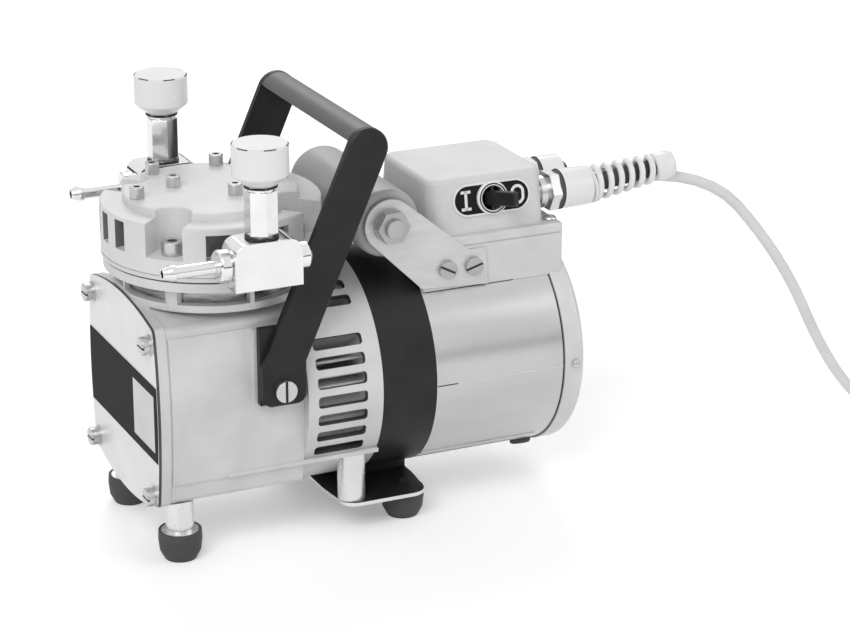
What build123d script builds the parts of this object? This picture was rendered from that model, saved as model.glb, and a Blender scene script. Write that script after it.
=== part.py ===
from build123d import *
import math
import os

# Diaphragm vacuum pump, in millimetres. X runs from the pump end to the motor end, Z is up.
# Stations along X are measured from the front face of the stator band.

# Clearances
running_fit = 0.05
loose_fit = 0.3
fan_clearance = 2.5
air_gap = 0.4

# Motor
axis_height = 90.0
motor_radius = 67.5
shell_wall = 3.0
band_length = 34.7
band_wall = 7.0
shell_length = 84.8
cap_length = 14.0
cap_overhang = 1.0
cap_wall = 3.0
cap_rounding = 5.0
cap_screw_angle = -90.0
shaft_radius = 7.5
bearing_radius = 16.0
bearing_width = 9.0
core_length = 70.0
core_inset = 12.0
rotor_radius = 36.0
winding_length = 10.0
winding_slots = 24

# Fan
housing_length = 47.3
housing_wall = 4.0
slot_length = 31.0
slot_height = 7.0
slot_pitch = 9.8
slot_first = -28.7
slot_count = 7
upper_slot_first = 51.5
upper_slot_count = 3
slot_back_margin = 10.0
blade_count = 14
blade_thickness = 2.0
blade_root_radius = 24.0
hub_radius = 15.0
hub_length = 26.0

# Crankcase
crank_length = 88.4
crank_wall = 6.0
crank_corner_half = 56.1
crank_bulge = 5.0
crank_drop = 52.0
crank_rise = 56.0
crank_crown = 7.0
crank_belly = 9.5
crank_edge_radius = 5.0
panel_step = 0.8
panel_margin = 6.0
rear_wall = 5.7
boss_radius = 22.0
screw_post_radius = 7.0
ledge_drop = 39.5
ledge_thickness = 2.5
ledge_half = 59.2
ledge_start = -95.0
pad_half_width = 62.3
pad_margin = 2.0

# Front cover
cover_thickness = 1.7
cover_screw_y = 51.0
cover_screw_z = 46.5
cover_screw_radius = 3.0
cover_head_radius = 5.5
cover_head_height = 3.6
label_low = -24.0
label_high = 22.5
label_thickness = 0.4

# Pump head
head_back = 32.7
rim_height = 4.2
rim_radius = 57.5
neck_radius = 52.0
neck_bore = 46.0
rod_opening = 26.0
flange_rise = 7.5
flange_thickness = 5.5
flange_radius = 63.5
diaphragm_thickness = 1.2
ring_thickness = 2.3
head_radius = 64.5
head_height = 29.5
head_floor = 10.0
chamber_radius = 47.0
chamber_height = 6.0
head_bolt_circle = 52.6
head_bolt_radius = 4.0
head_bolt_head = 6.5
head_bolt_head_height = 8.0
pocket_radius = 11.5
side_slot_width = 9.0
side_slot_depth = 7.0
side_slot_step = 16.0
flat_half_length = 25.0
flat_offset = 52.0
plate_radius = 51.0
plate_thickness = 4.9
plate_screw_circle = 45.5
plate_screw_angles = (3.0, 65.0, 118.0, 183.0)
plate_screw_radius = 2.5
plate_screw_head = 4.25
plate_screw_head_height = 7.0
plenum_radius = 38.0
plenum_web = 8.0
port_radius = 4.0
port_offset = 20.0
disc_radius = 8.5
disc_thickness = 1.0
disc_lift = 1.2

# Crank drive
throw = 4.0
eccentric_radius = 14.0
rod_bearing_radius = 21.0
rod_eye_radius = 27.0
rod_width = 12.0
rod_shank_radius = 7.0
rod_disc_radius = 22.0
rod_disc_thickness = 3.0
weight_radius = 34.0
weight_thickness = 6.0

# Regulating valves
valve_y = 81.7
block_length = 40.5
block_depth = 21.0
block_height = 27.5
block_lift = 1.0
block_edge_radius = 8.0
column_across = 16.5
column_height = 30.5
knob_radius = 16.2
knob_height = 24.0
nozzle_height = 13.5
nozzle_length = 39.0
nozzle_radius = 3.8
barb_radius = 4.75
barb_length = 7.5
nozzle_bore = 2.4
collar_radius = 9.6
collar_length = 7.0
plug_radius = 8.0
plug_length = 7.5
union_radius = 4.3
union_bore = 2.0
union_shift = 16.0

# Handle
spacer_thickness = 4.5
spacer_height = 47.0
arm_thickness = 5.0
arm_foot_front = -77.0
arm_foot_width = 27.0
arm_foot_rise = 4.8
arm_end_x = -10.1
arm_end_rise = 151.8
arm_end_radius = 12.2
arm_lean = 23.6
arm_corner = 6.0
grip_radius = 12.0
grip_corner = 1.5
handle_screw_back = 13.2
handle_screw_rise = 14.3
handle_screw_radius = 4.0
handle_screw_head = 6.5

# Capacitor and its bracket
can_offset = 21.4
can_rise = 14.0
can_radius = 20.8
can_clearance = 1.5
can_length = 104.5
can_dome = 4.0
stud_radius = 5.8
stud_length = 10.0
nut_across = 18.0
nut_thickness = 5.0
washer_radius = 11.0
washer_thickness = 2.0
bracket_thickness = 1.5
bracket_eye_radius = 15.7
bracket_screw_head = 5.6
bracket_slot_turns = (28.0, -16.0)

# Terminal box
base_front = 35.2
base_length = 93.8
base_half = 45.0
base_skirt = 2.3
base_rise = 14.5
lid_setback = 8.8
lid_length = 76.0
lid_margin = 5.0
lid_far_margin = 3.0
lid_taper = 6.0
lid_height = 33.0
lid_wall = 2.5
lid_corner_radius = 9.0
lid_edge_radius = 4.0
switch_offset = 40.1
switch_height = 19.2
switch_plate_length = 51.0
switch_plate_width = 19.5
switch_plate_thickness = 1.0
bushing_radius = 10.0
bushing_bore = 7.5
bushing_height = 2.5
lever_length = 20.0
lever_tail = 4.0
lever_width = 8.8
lever_thickness = 4.6
lever_pivot_radius = 1.1
lever_throw = 20.0

# Cable gland
gland_y = -24.0
gland_rise = 14.5
gland_stem_radius = 8.0
gland_stem_length = 6.5
gland_flange_radius = 10.0
gland_flange_length = 4.0
gland_nut_across = 22.0
gland_nut_length = 6.0
gland_ring_length = 2.5
gland_body_radius = 12.4
gland_body_length = 19.5
protector_length = 59.0
protector_tip_radius = 8.5
protector_tilt = 6.3
protector_gap_count = 6
protector_gap_start = 1.0
protector_gap_pitch = 7.6
protector_gap_width = 4.0
second_gland_y = 5.0
second_body_length = 15.2
second_plug_radius = 7.0
second_plug_length = 4.0

# Feet
foot_radius = 13.0
foot_x_front = -121.0
foot_y_front = 45.6
foot_x_rear = 23.2
foot_y_rear = 42.0
post_radius = 8.3
rear_post_x = -13.7
rear_post_y = 49.6
motor_clearance = 2.5
foot_plate_thickness = 2.3
foot_plate_front = -24.0
foot_plate_back = 35.0
foot_plate_half = 60.0
foot_plate_corner = 10.0
foot_plate_taper = 3.0
foot_washer_radius = 11.0
foot_washer_thickness = 1.5
foot_screw_radius = 2.5
foot_screw_head = 4.6
foot_screw_head_height = 2.6
pad_half = 20.0

# Mains cord
cord_radius = 3.5
coil_radius = 38.5
coil_half_width = 10.5
coil_half_height = 7.0
tie_width = 8.0
tie_thickness = 1.2
plug_body_radius = 18.0
plug_body_length = 34.0
plug_sleeve_length = 34.0
plug_pin_radius = 2.4
plug_pin_length = 19.0
plug_pin_spacing = 19.0
cord_fall = [(152.0, 186.07), (231.0, 194.8), (297.0, 121.0), (334.0, 45.0)]
cord_rest = [(370.0, -24.0), (398.0, -19.0), (416.0, -8.0)]

shell_back = band_length + shell_length
cap_back = shell_back + cap_length
crank_back = -housing_length
crank_front = crank_back - crank_length
head_x = crank_back - head_back
crank_corner_low = axis_height - crank_drop
crank_corner_high = axis_height + crank_rise
ledge_height = axis_height - ledge_drop
crank_middle = (crank_corner_low + crank_corner_high) / 2
crown_z = crank_corner_high + crank_crown
rim_low = crown_z - 2.0
flange_low = axis_height + motor_radius + flange_rise
flange_top = flange_low + flange_thickness
ring_low = flange_top + diaphragm_thickness
head_low = ring_low + ring_thickness
head_top = head_low + head_height
plate_top = head_top + plate_thickness
pocket_floor = head_low + head_floor
plenum_floor = pocket_floor + 4.0
block_low = head_low + block_lift
nozzle_z = block_low + nozzle_height
knob_low = block_low + block_height + column_height
arm_inner = pad_half_width + spacer_thickness
arm_foot_low = axis_height + arm_foot_rise
arm_end_z = axis_height + arm_end_rise
handle_screw_z = axis_height + handle_screw_rise
base_low = axis_height + math.sqrt(motor_radius ** 2 - base_half ** 2) - base_skirt
base_top = axis_height + motor_radius + base_rise
can_x = base_front - can_offset
can_z = base_top + can_rise
can_near = can_clearance - base_half
lid_front = base_front + lid_setback
lid_back = lid_front + lid_length
lid_half = base_half - lid_margin
lid_far_half = base_half - lid_far_margin
switch_x = lid_front + switch_offset
gland_z = base_top + gland_rise
plate_z = axis_height - motor_radius - motor_clearance
plate_low = plate_z - foot_plate_thickness
foot_height = plate_low
bottom_up = (Align.CENTER, Align.CENTER, Align.MIN)


def rod_x(radius, start, end, y=0.0, z=axis_height):
    return Pos(start, y, z) * Rot(0, 90, 0) * Cylinder(radius, end - start, align=bottom_up)


def rod_y(radius, start, end, x, z):
    return Pos(x, start, z) * Rot(-90, 0, 0) * Cylinder(radius, end - start, align=bottom_up)


def rod_z(radius, start, end, x, y):
    return Pos(x, y, start) * Cylinder(radius, end - start, align=bottom_up)


def ring_x(outer, inner, start, end, y=0.0, z=axis_height):
    return rod_x(outer, start, end, y, z) - rod_x(inner, start - 1, end + 1, y, z)


def ring_z(outer, inner, start, end, x, y):
    return rod_z(outer, start, end, x, y) - rod_z(inner, start - 1, end + 1, x, y)


def block(x_low, x_high, y_low, y_high, z_low, z_high):
    size = (x_high - x_low, y_high - y_low, z_high - z_low)
    corner = (Align.MIN, Align.MIN, Align.MIN)
    return Pos(x_low, y_low, z_low) * Box(*size, align=corner)


def polar(radius, degrees, x=head_x, y=0.0):
    angle = math.radians(degrees)
    return (x + radius * math.cos(angle), y + radius * math.sin(angle))


def turned_z(points, x, y):
    """Body of revolution about a vertical axis from (radius, z) points."""
    outline = Polyline(*[(radius, 0, z) for radius, z in points], close=True)
    return Pos(x, y, 0) * revolve(make_face(outline), Axis.Z)


def turned_x(points, y, z):
    """Body of revolution about an axis along X from (x, radius) points."""
    outline = Polyline(*[(x, radius) for x, radius in points], close=True)
    return Pos(0, y, z) * revolve(make_face(outline), Axis.X)


def hexagon_x(across, start, end, y, z):
    outline = Plane.YZ * RegularPolygon(across / 2, 6, major_radius=False)
    return Pos(start, y, z) * extrude(outline, end - start)


def solids(shapes):
    return Compound(children=[solid for shape in shapes for solid in shape.solids()])


# Crankcase


def crank_section(inset):
    half = crank_corner_half - inset
    low = crank_corner_low + inset
    high = crank_corner_high - inset
    right = ThreePointArc((half, low), (half + crank_bulge, crank_middle), (half, high))
    left = ThreePointArc((-half, high), (-half - crank_bulge, crank_middle), (-half, low))
    crown = ThreePointArc((half, high), (0, high + crank_crown), (-half, high))
    belly = ThreePointArc((-half, low), (0, low - crank_belly), (half, low))
    face = make_face(Curve() + [right, crown, left, belly])
    return Plane.YZ * fillet(face.vertices(), crank_edge_radius)


def crank_envelope(inset, start, end):
    return Pos(start, 0, 0) * extrude(crank_section(inset), end - start)


def cover_screw_places():
    return [(y, axis_height + z) for y in (-cover_screw_y, cover_screw_y)
            for z in (-cover_screw_z, cover_screw_z)]


def side_panels():
    full = crank_envelope(0, crank_front + panel_margin + 1, crank_back)
    tall = crank_corner_high - panel_margin - ledge_height
    reach = crank_corner_half + crank_bulge + 2
    panels = []
    for side in (-1, 1):
        low_y, high_y = sorted((side * (crank_corner_half - 8), side * reach))
        window = block(crank_front, crank_back, low_y, high_y, ledge_height, ledge_height + tall)
        panels.append(full & window)
    return panels


def handle_pads():
    pads = []
    for side in (-1, 1):
        low_y, high_y = sorted((side * (crank_corner_half - 6), side * pad_half_width))
        pad = block(arm_foot_front - pad_margin, crank_back, low_y, high_y, arm_foot_low - pad_margin,
                    crank_corner_high - panel_margin)
        pads.append(pad)
    return pads


def ledges():
    strips = []
    for side in (-1, 1):
        low_y, high_y = sorted((side * (crank_corner_half - 16), side * ledge_half))
        strip = block(ledge_start, 0, low_y, high_y, ledge_height, ledge_height + ledge_thickness)
        strip -= rod_x(motor_radius + running_fit, crank_back, 1)
        strips.append(strip)
    return strips


def make_crankcase():
    body = crank_envelope(panel_step, crank_front, crank_back)
    body += crank_envelope(0, crank_front, crank_front + panel_margin)
    body += side_panels()
    body += handle_pads()
    cavity = crank_envelope(crank_wall, crank_front - 1, crank_back - rear_wall)
    for y, z in cover_screw_places():
        cavity -= rod_x(screw_post_radius, crank_front, crank_back, y, z)
    body -= cavity
    neck = rod_z(rim_radius, rim_low, rim_low + rim_height, head_x, 0)
    neck += rod_z(neck_radius, rim_low, flange_low, head_x, 0)
    neck += rod_z(flange_radius, flange_low, flange_top, head_x, 0)
    for number in range(8):
        rib = block(neck_radius - 2, rim_radius, -1.3, 1.3, rim_low, flange_low)
        neck += Pos(head_x, 0, 0) * Rot(0, 0, 3 + 45 * number) * rib
    for x, y in head_bolt_places():
        neck += rod_z(head_bolt_radius + 1.2, rim_low, flange_low, x, y)
    clear_height = axis_height + motor_radius + 0.5
    neck -= block(crank_back, 0, -motor_radius, motor_radius, 0, clear_height)
    neck -= block(crank_front - 9, crank_front, -motor_radius, motor_radius, 0, flange_low - 1)
    body += neck
    body -= rod_z(rod_opening, crank_corner_high - 20, flange_top + 1, head_x, 0)
    body -= rod_z(neck_bore, clear_height + 2.5, flange_top + 1, head_x, 0)
    boss_start = crank_back - rear_wall - bearing_width
    body += rod_x(boss_radius, boss_start, crank_back - 1)
    body -= rod_x(bearing_radius + running_fit, boss_start - 1, crank_back - 1.7)
    body -= rod_x(shaft_radius + loose_fit, crank_back - 3, crank_back + 1)
    body += ledges()
    for x, y in head_bolt_places():
        body -= rod_z(head_bolt_radius + running_fit, flange_low - 8, flange_top + 1, x, y)
    for y, z in cover_screw_places():
        body -= rod_x(cover_screw_radius + running_fit, crank_front - 1, crank_front + 16, y, z)
    screw_x = arm_foot_front + handle_screw_back
    for side in (-1, 1):
        start, end = sorted((side * (crank_corner_half - 8), side * (pad_half_width + 1)))
        body -= rod_y(handle_screw_radius + running_fit, start, end, screw_x, handle_screw_z)
        for x, y in ((foot_x_front, side * foot_y_front),):
            body -= rod_z(foot_screw_radius + running_fit, 0, crank_corner_low + 4, x, y)
    return body


def make_front_cover():
    plate = crank_envelope(0, crank_front - cover_thickness, crank_front)
    for y, z in cover_screw_places():
        plate -= rod_x(cover_screw_radius + loose_fit, crank_front - 5, crank_front + 1, y, z)
    return plate


def make_label_band():
    front = crank_front - cover_thickness
    band = crank_envelope(1.2, front - label_thickness, front)
    reach = crank_corner_half + crank_bulge
    window = block(front - 1, front, -reach, reach, axis_height + label_low, axis_height + label_high)
    return band & window


def make_cover_screws():
    front = crank_front - cover_thickness
    screws = []
    for y, z in cover_screw_places():
        screw = rod_x(cover_screw_radius, front - 2.6, crank_front + 14, y, z)
        head = rod_x(cover_head_radius, front - 2.6 - cover_head_height, front - 2.6, y, z)
        screw += chamfer(head.edges().filter_by(GeomType.CIRCLE).sort_by(Axis.X)[0], 0.6)
        slot = block(front - 10, front - 2.6 - cover_head_height + 1.2,
                     y - cover_head_radius, y + cover_head_radius, z - 0.6, z + 0.6)
        screws.append(screw - slot)
    return solids(screws)


def make_cover_washers():
    front = crank_front - cover_thickness
    rings = []
    for y, z in cover_screw_places():
        bore = cover_screw_radius + running_fit
        rings.append(ring_x(cover_head_radius + 0.7, bore, front - 1.2, front, y, z))
        rings.append(ring_x(cover_head_radius - 0.4, bore, front - 2.6, front - 1.2, y, z))
    return solids(rings)


# Pump head


def head_bolt_places():
    return [polar(head_bolt_circle, 45 + 90 * number) for number in range(4)]


def plate_screw_places():
    rim = [polar(plate_screw_circle, angle) for angle in plate_screw_angles]
    inner = [(head_x - 19, 10), (head_x + 8.5, -19)]
    return rim + inner


def make_diaphragm():
    rise = throw
    low, high = flange_top, flange_top + diaphragm_thickness
    points = [
        (rod_shank_radius + running_fit, low + rise),
        (rod_disc_radius + 2, low + rise),
        (neck_bore - 1, low),
        (flange_radius - 0.3, low),
        (flange_radius - 0.3, high),
        (neck_bore - 1, high),
        (rod_disc_radius + 2, high + rise),
        (rod_shank_radius + running_fit, high + rise),
    ]
    body = turned_z(points, head_x, 0)
    for x, y in head_bolt_places():
        body -= rod_z(head_bolt_radius + loose_fit, low - 1, high + 1, x, y)
    return body


def make_clamp_ring():
    body = ring_z(head_radius, chamber_radius, ring_low, head_low, head_x, 0)
    for x, y in head_bolt_places():
        body -= rod_z(head_bolt_radius + loose_fit, ring_low - 1, head_low + 1, x, y)
    return body


def side_slot(angle):
    cut = block(head_radius - side_slot_depth, head_radius + 2, -side_slot_width / 2,
                side_slot_width / 2, pocket_floor, head_top - 2)
    return Pos(head_x, 0, 0) * Rot(0, 0, angle) * cut


def bolt_pocket(angle, low, high):
    x, y = polar(head_bolt_circle, angle)
    cut = rod_z(pocket_radius, low, high, x, y)
    way_out = block(head_bolt_circle, head_radius + 5, -pocket_radius, pocket_radius, low, high)
    return cut + Pos(head_x, 0, 0) * Rot(0, 0, angle) * way_out


def make_head_cover():
    body = rod_z(head_radius, head_low, head_top, head_x, 0)
    body = chamfer(body.edges().filter_by(GeomType.CIRCLE), 0.8)
    body -= rod_z(chamber_radius, head_low - 1, head_low + chamber_height, head_x, 0)
    for x, y in head_bolt_places():
        body -= rod_z(head_bolt_radius + loose_fit, head_low - 1, head_top, x, y)
    for number in range(4):
        body -= bolt_pocket(45 + 90 * number, pocket_floor, head_top + 1)
    for middle in (0, 180):
        for step in (-1, 0, 1):
            body -= side_slot(middle + step * side_slot_step)
    for side in (-1, 1):
        low_y, high_y = sorted((side * flat_offset, side * (head_radius + 2)))
        body -= block(head_x - flat_half_length, head_x + flat_half_length, low_y, high_y,
                      pocket_floor, head_top - 4)
    plenum = rod_z(plenum_radius, plenum_floor, head_top + 1, head_x, 0)
    plenum -= block(head_x - plenum_radius - 1, head_x + plenum_radius + 1, -plenum_web / 2,
                    plenum_web / 2, plenum_floor - 1, head_top + 2)
    for x, y in plate_screw_places():
        plenum -= rod_z(plate_screw_radius + 3, plenum_floor - 1, head_top + 2, x, y)
    body -= plenum
    for x, y in plate_screw_places():
        body -= rod_z(plate_screw_radius + running_fit, head_top - 9, head_top + 1, x, y)
    ceiling = head_low + chamber_height
    for side in (-1, 1):
        body -= rod_z(port_radius, ceiling - 1, plenum_floor + 1, head_x, side * port_offset)
        start, end = sorted((side * (plenum_radius - 6), side * (flat_offset + 1)))
        body -= rod_y(port_radius, start, end, head_x - union_shift, nozzle_z)
    body -= rod_z(disc_radius + loose_fit, ceiling - 1, ceiling + disc_thickness + disc_lift,
                  head_x, -port_offset)
    return body


def make_top_plate():
    plate = rod_z(plate_radius, head_top, plate_top, head_x, 0)
    for number in range(4):
        plate -= bolt_pocket(45 + 90 * number, head_top - 1, plate_top + 1)
    plate = chamfer(plate.edges().group_by(Axis.Z)[-1], 0.7)
    for x, y in plate_screw_places():
        plate -= rod_z(plate_screw_radius + loose_fit, head_top - 1, plate_top + 1, x, y)
    return plate


def socket_screw(x, y, seat, radius, head_radius, head_height, depth):
    screw = rod_z(radius, seat - depth, seat + 1, x, y)
    head = rod_z(head_radius, seat, seat + head_height, x, y)
    screw += chamfer(head.edges().filter_by(GeomType.CIRCLE).sort_by(Axis.Z)[-1], 0.5)
    key = Pos(x, y, seat + head_height * 0.45) * extrude(RegularPolygon(head_radius * 0.5, 6), 10)
    return screw - key


def make_head_bolts():
    depth = pocket_floor - flange_low + 6
    return solids([socket_screw(x, y, pocket_floor, head_bolt_radius, head_bolt_head,
                                head_bolt_head_height, depth) for x, y in head_bolt_places()])


def make_plate_screws():
    return solids([socket_screw(x, y, plate_top, plate_screw_radius, plate_screw_head,
                                plate_screw_head_height, plate_thickness + 7)
                   for x, y in plate_screw_places()])


def make_inlet_disc():
    top = head_low + chamber_height + disc_thickness + disc_lift
    return rod_z(disc_radius, top - disc_thickness, top, head_x, -port_offset)


def make_outlet_disc():
    return rod_z(disc_radius, plenum_floor, plenum_floor + disc_thickness, head_x, port_offset)


# Crank drive


def eccentric_z():
    return axis_height + throw


def make_rod():
    middle = eccentric_z()
    start, end = head_x - rod_width / 2, head_x + rod_width / 2
    disc_top = flange_top + throw
    body = rod_x(rod_eye_radius, start, end, 0, middle)
    shank = loft([
        Pos(head_x, 0, middle) * Rectangle(rod_width, 2 * rod_shank_radius + 14),
        Pos(head_x, 0, disc_top - rod_disc_thickness) * Rectangle(rod_width, 2 * rod_shank_radius),
    ])
    body += shank
    body += rod_z(rod_disc_radius, disc_top - rod_disc_thickness, disc_top, head_x, 0)
    body += rod_z(rod_shank_radius, disc_top, disc_top + diaphragm_thickness, head_x, 0)
    body -= rod_x(rod_bearing_radius + running_fit, start - 1, end + 1, 0, middle)
    return body


def make_clamp_disc():
    low = flange_top + throw + diaphragm_thickness
    disc = rod_z(rod_disc_radius, low, low + rod_disc_thickness, head_x, 0)
    return chamfer(disc.edges().group_by(Axis.Z)[-1], 1.0)


def make_rod_bearing():
    inner = eccentric_radius + running_fit
    start, end = head_x - rod_width / 2, head_x + rod_width / 2
    return ring_x(rod_bearing_radius, inner, start, end, 0, eccentric_z())


def make_eccentric():
    start = head_x - rod_width / 2 - 1
    back = head_x + rod_width / 2 + 1
    body = rod_x(eccentric_radius, start, back, 0, eccentric_z())
    body += rod_x(eccentric_radius + 2, back, back + weight_thickness)
    sector = rod_x(weight_radius, back, back + weight_thickness)
    reach = weight_radius + 1
    sector -= block(back - 1, back + weight_thickness + 1, -reach, reach, axis_height - 6,
                    axis_height + reach)
    body += sector
    body -= rod_x(shaft_radius + running_fit, start - 1, back + weight_thickness + 1)
    return body


def make_shaft():
    start = head_x - rod_width / 2 - 1
    shaft = rod_x(shaft_radius, start, shell_back + 3 + bearing_width)
    return chamfer(shaft.edges().filter_by(GeomType.CIRCLE), 0.6)


def make_shaft_bearings():
    starts = (crank_back - 1.7 - bearing_width, shell_back + 2)
    bore = shaft_radius + running_fit
    return solids([ring_x(bearing_radius, bore, start, start + bearing_width) for start in starts])


# Fan and motor


def slot_angles():
    lower = [slot_first + number * slot_pitch for number in range(slot_count)]
    upper = [upper_slot_first + number * slot_pitch for number in range(upper_slot_count)]
    near = lower + upper
    return near + [180 - angle for angle in near]


def make_fan_housing():
    shell = ring_x(motor_radius, motor_radius - housing_wall, crank_back, 0)
    wall = ring_x(motor_radius, bearing_radius + 6, crank_back, crank_back + housing_wall)
    body = shell + wall
    slot = fillet(Rectangle(slot_length, slot_height).vertices(), slot_height * 0.3)
    middle = -slot_back_margin - slot_length / 2
    cutter = Pos(middle, 0, motor_radius - housing_wall - 2) * extrude(slot, housing_wall + 6)
    for angle in slot_angles():
        body -= Pos(0, 0, axis_height) * Rot(90 - angle, 0, 0) * cutter
    return body


def make_fan():
    tip = motor_radius - housing_wall - fan_clearance
    back = -slot_back_margin + 2
    front = crank_back + housing_wall + 2
    disc = rod_x(tip, back, back + 2)
    disc += rod_x(hub_radius, back + 2 - hub_length, back + 2)
    depth = back - front
    blade = block(front, back + 1, -blade_thickness / 2, blade_thickness / 2,
                  blade_root_radius, tip)
    blade -= Pos(front - 1, 0, blade_root_radius - 1) * Rot(0, 45, 0) * Box(depth, 6, depth)
    for number in range(blade_count):
        disc += Pos(0, 0, axis_height) * Rot(360 / blade_count * number, 0, 0) * blade
    return disc - rod_x(shaft_radius + running_fit, front - 20, back + 5)


def make_stator_band():
    band = rod_x(motor_radius, 0, band_length)
    band += block(0, band_length, -pad_half, pad_half, plate_z, axis_height - motor_radius + 6)
    return band - rod_x(motor_radius - band_wall, -1, band_length + 1)


def make_motor_shell():
    return ring_x(motor_radius, motor_radius - shell_wall, band_length, shell_back)


def make_stator_core():
    outer = motor_radius - band_wall - running_fit
    core = ring_x(outer, rotor_radius, core_inset, core_inset + core_length)
    notch = block(core_inset - 1, core_inset + core_length + 1, -2.2, 2.2, rotor_radius - 2,
                  rotor_radius + 14)
    for number in range(winding_slots):
        core -= Pos(0, 0, axis_height) * Rot(360 / winding_slots * number, 0, 0) * notch
    return core


def make_windings():
    coils = []
    outer, inner = rotor_radius + 17, rotor_radius + 3
    for start in (core_inset - winding_length, core_inset + core_length):
        coil = ring_x(outer, inner, start, start + winding_length)
        coils.append(fillet(coil.edges().filter_by(GeomType.CIRCLE), 3))
    return solids(coils)


def make_rotor():
    rotor = rod_x(rotor_radius - air_gap, core_inset, core_inset + core_length)
    return rotor - rod_x(shaft_radius + running_fit, 0, shell_back)


def make_end_cap():
    radius = motor_radius + cap_overhang
    cap = rod_x(radius, shell_back, cap_back)
    rim = cap.edges().filter_by(GeomType.CIRCLE).sort_by(Axis.X)[-1]
    cap = fillet(rim, cap_rounding)
    cap -= rod_x(radius - cap_wall - 1, shell_back - 1, cap_back - cap_wall)
    cap += rod_x(boss_radius, shell_back + 2, cap_back - 1)
    cap -= rod_x(bearing_radius + running_fit, shell_back, shell_back + 2 + bearing_width)
    cap -= rod_x(shaft_radius + loose_fit, shell_back, shell_back + 3 + bearing_width)
    return cap


def make_cap_screws():
    middle = (shell_back + cap_back) / 2
    radius = motor_radius + cap_overhang
    head = rod_z(2.6, radius + 0.2, radius + 1.2, 0, 0)
    head -= block(-3, 3, -0.4, 0.4, radius + 0.7, radius + 2)
    return solids([Pos(middle, 0, axis_height) * Rot(side * cap_screw_angle, 0, 0) * head
                   for side in (-1, 1)])


# Regulating valves, mirrored about the shaft's vertical plane


def on_side(shape, side):
    return shape if side < 0 else mirror(shape, Plane.XZ)


def near_block_span():
    middle = -valve_y - 0.8
    return middle - block_depth / 2, middle + block_depth / 2


def make_block():
    low_y, high_y = near_block_span()
    start = head_x - block_length / 2
    end = head_x + block_length / 2
    body = block(start, end, low_y, high_y, block_low, block_low + block_height)
    top_edges = body.edges().filter_by(Axis.Y).group_by(Axis.Z)[-1]
    body = fillet(top_edges, block_edge_radius)
    body -= rod_x(nozzle_bore, start - 1, end + 1, -valve_y, nozzle_z)
    body -= rod_y(union_bore, -valve_y, high_y + 1, head_x - union_shift, nozzle_z)
    return body


def make_union():
    high_y = near_block_span()[1]
    x = head_x - union_shift
    body = rod_y(union_radius, high_y, -flat_offset, x, nozzle_z)
    return body - rod_y(union_bore, high_y - 1, -flat_offset + 1, x, nozzle_z)


def make_column():
    low = block_low + block_height
    hexagon = Pos(head_x, -valve_y, low) * extrude(
        RegularPolygon(column_across / 2, 6, major_radius=False, rotation=30), column_height)
    waist = column_across / 2
    for start in (low + 0.8, low + column_height - 3.2):
        hexagon -= ring_z(waist + 3, waist - 0.6, start, start + 1.6, head_x, -valve_y)
    return hexagon - rod_z(3, low + column_height - 12, low + column_height + 1, head_x, -valve_y)


def make_knob():
    top = knob_low + knob_height
    points = [
        (0, knob_low + 0.3),
        (column_across / 2 + 1, knob_low + 0.3),
        (knob_radius - 1.2, knob_low + 5),
        (knob_radius, knob_low + 6.2),
        (knob_radius, top - 1),
        (knob_radius - 1, top),
        (0, top),
    ]
    knob = turned_z(points, head_x, -valve_y)
    stem = rod_z(3 - running_fit, knob_low - 10, knob_low + 2, head_x, -valve_y)
    return knob + stem


def make_nozzle():
    back = head_x - block_length / 2
    collar_start = back - collar_length
    tip = back - nozzle_length
    points = [
        (tip, nozzle_bore),
        (tip, nozzle_radius - 0.6),
        (tip + barb_length * 0.7, barb_radius),
        (tip + barb_length, barb_radius),
        (tip + barb_length, nozzle_radius),
        (collar_start, nozzle_radius),
        (collar_start, collar_radius - 1),
        (collar_start + 1, collar_radius),
        (back - 1, collar_radius),
        (back, collar_radius - 1),
        (back, nozzle_bore),
    ]
    return turned_x(points, -valve_y, nozzle_z)


def make_plug():
    start = head_x + block_length / 2
    plug = rod_x(plug_radius, start, start + plug_length, -valve_y, nozzle_z)
    rim = plug.edges().filter_by(GeomType.CIRCLE).sort_by(Axis.X)[-1]
    return chamfer(rim, 1.5)


# Handle


def arm_outline():
    lean = math.radians(arm_lean)
    along_x, along_z = math.sin(lean), math.cos(lean)
    front, back = arm_foot_front, arm_foot_front + arm_foot_width
    left = (arm_end_x - arm_end_radius * along_z, arm_end_z + arm_end_radius * along_x)
    right = (arm_end_x + arm_end_radius * along_z, arm_end_z - arm_end_radius * along_x)
    tip = (arm_end_x + arm_end_radius * along_x, arm_end_z + arm_end_radius * along_z)
    left_bend = (front, left[1] - (left[0] - front) / math.tan(lean))
    right_bend = (back, right[1] - (right[0] - back) / math.tan(lean))
    sides = Polyline(left, left_bend, (front, arm_foot_low), (back, arm_foot_low), right_bend, right)
    face = make_face(Curve() + [sides, ThreePointArc(right, tip, left)])
    feet = face.vertices().group_by(Axis.Y)[0]
    return fillet(feet, arm_corner)


def make_arm():
    flat = Plane.XZ * arm_outline()
    arm = Pos(0, -arm_inner, 0) * extrude(flat, arm_thickness)
    outer_edges = arm.edges().group_by(Axis.Y)[0]
    arm = chamfer(outer_edges, 1.0)
    screw_x = arm_foot_front + handle_screw_back
    arm += block(arm_foot_front, arm_foot_front + arm_foot_width, -arm_inner, -pad_half_width,
                 arm_foot_low, arm_foot_low + spacer_height)
    return arm - rod_y(handle_screw_radius + loose_fit, -arm_inner - 20, -pad_half_width + 1, screw_x,
                       handle_screw_z)


def make_grip():
    section = Circle(grip_radius) - Pos(0, -grip_radius) * Rectangle(4 * grip_radius, 2 * grip_radius)
    section = fillet(section.vertices(), grip_corner)
    grip = Pos(0, arm_inner, 0) * extrude(Plane.XZ * section, 2 * arm_inner)
    return Pos(arm_end_x, 0, arm_end_z) * Rot(0, arm_lean, 0) * grip


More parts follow.
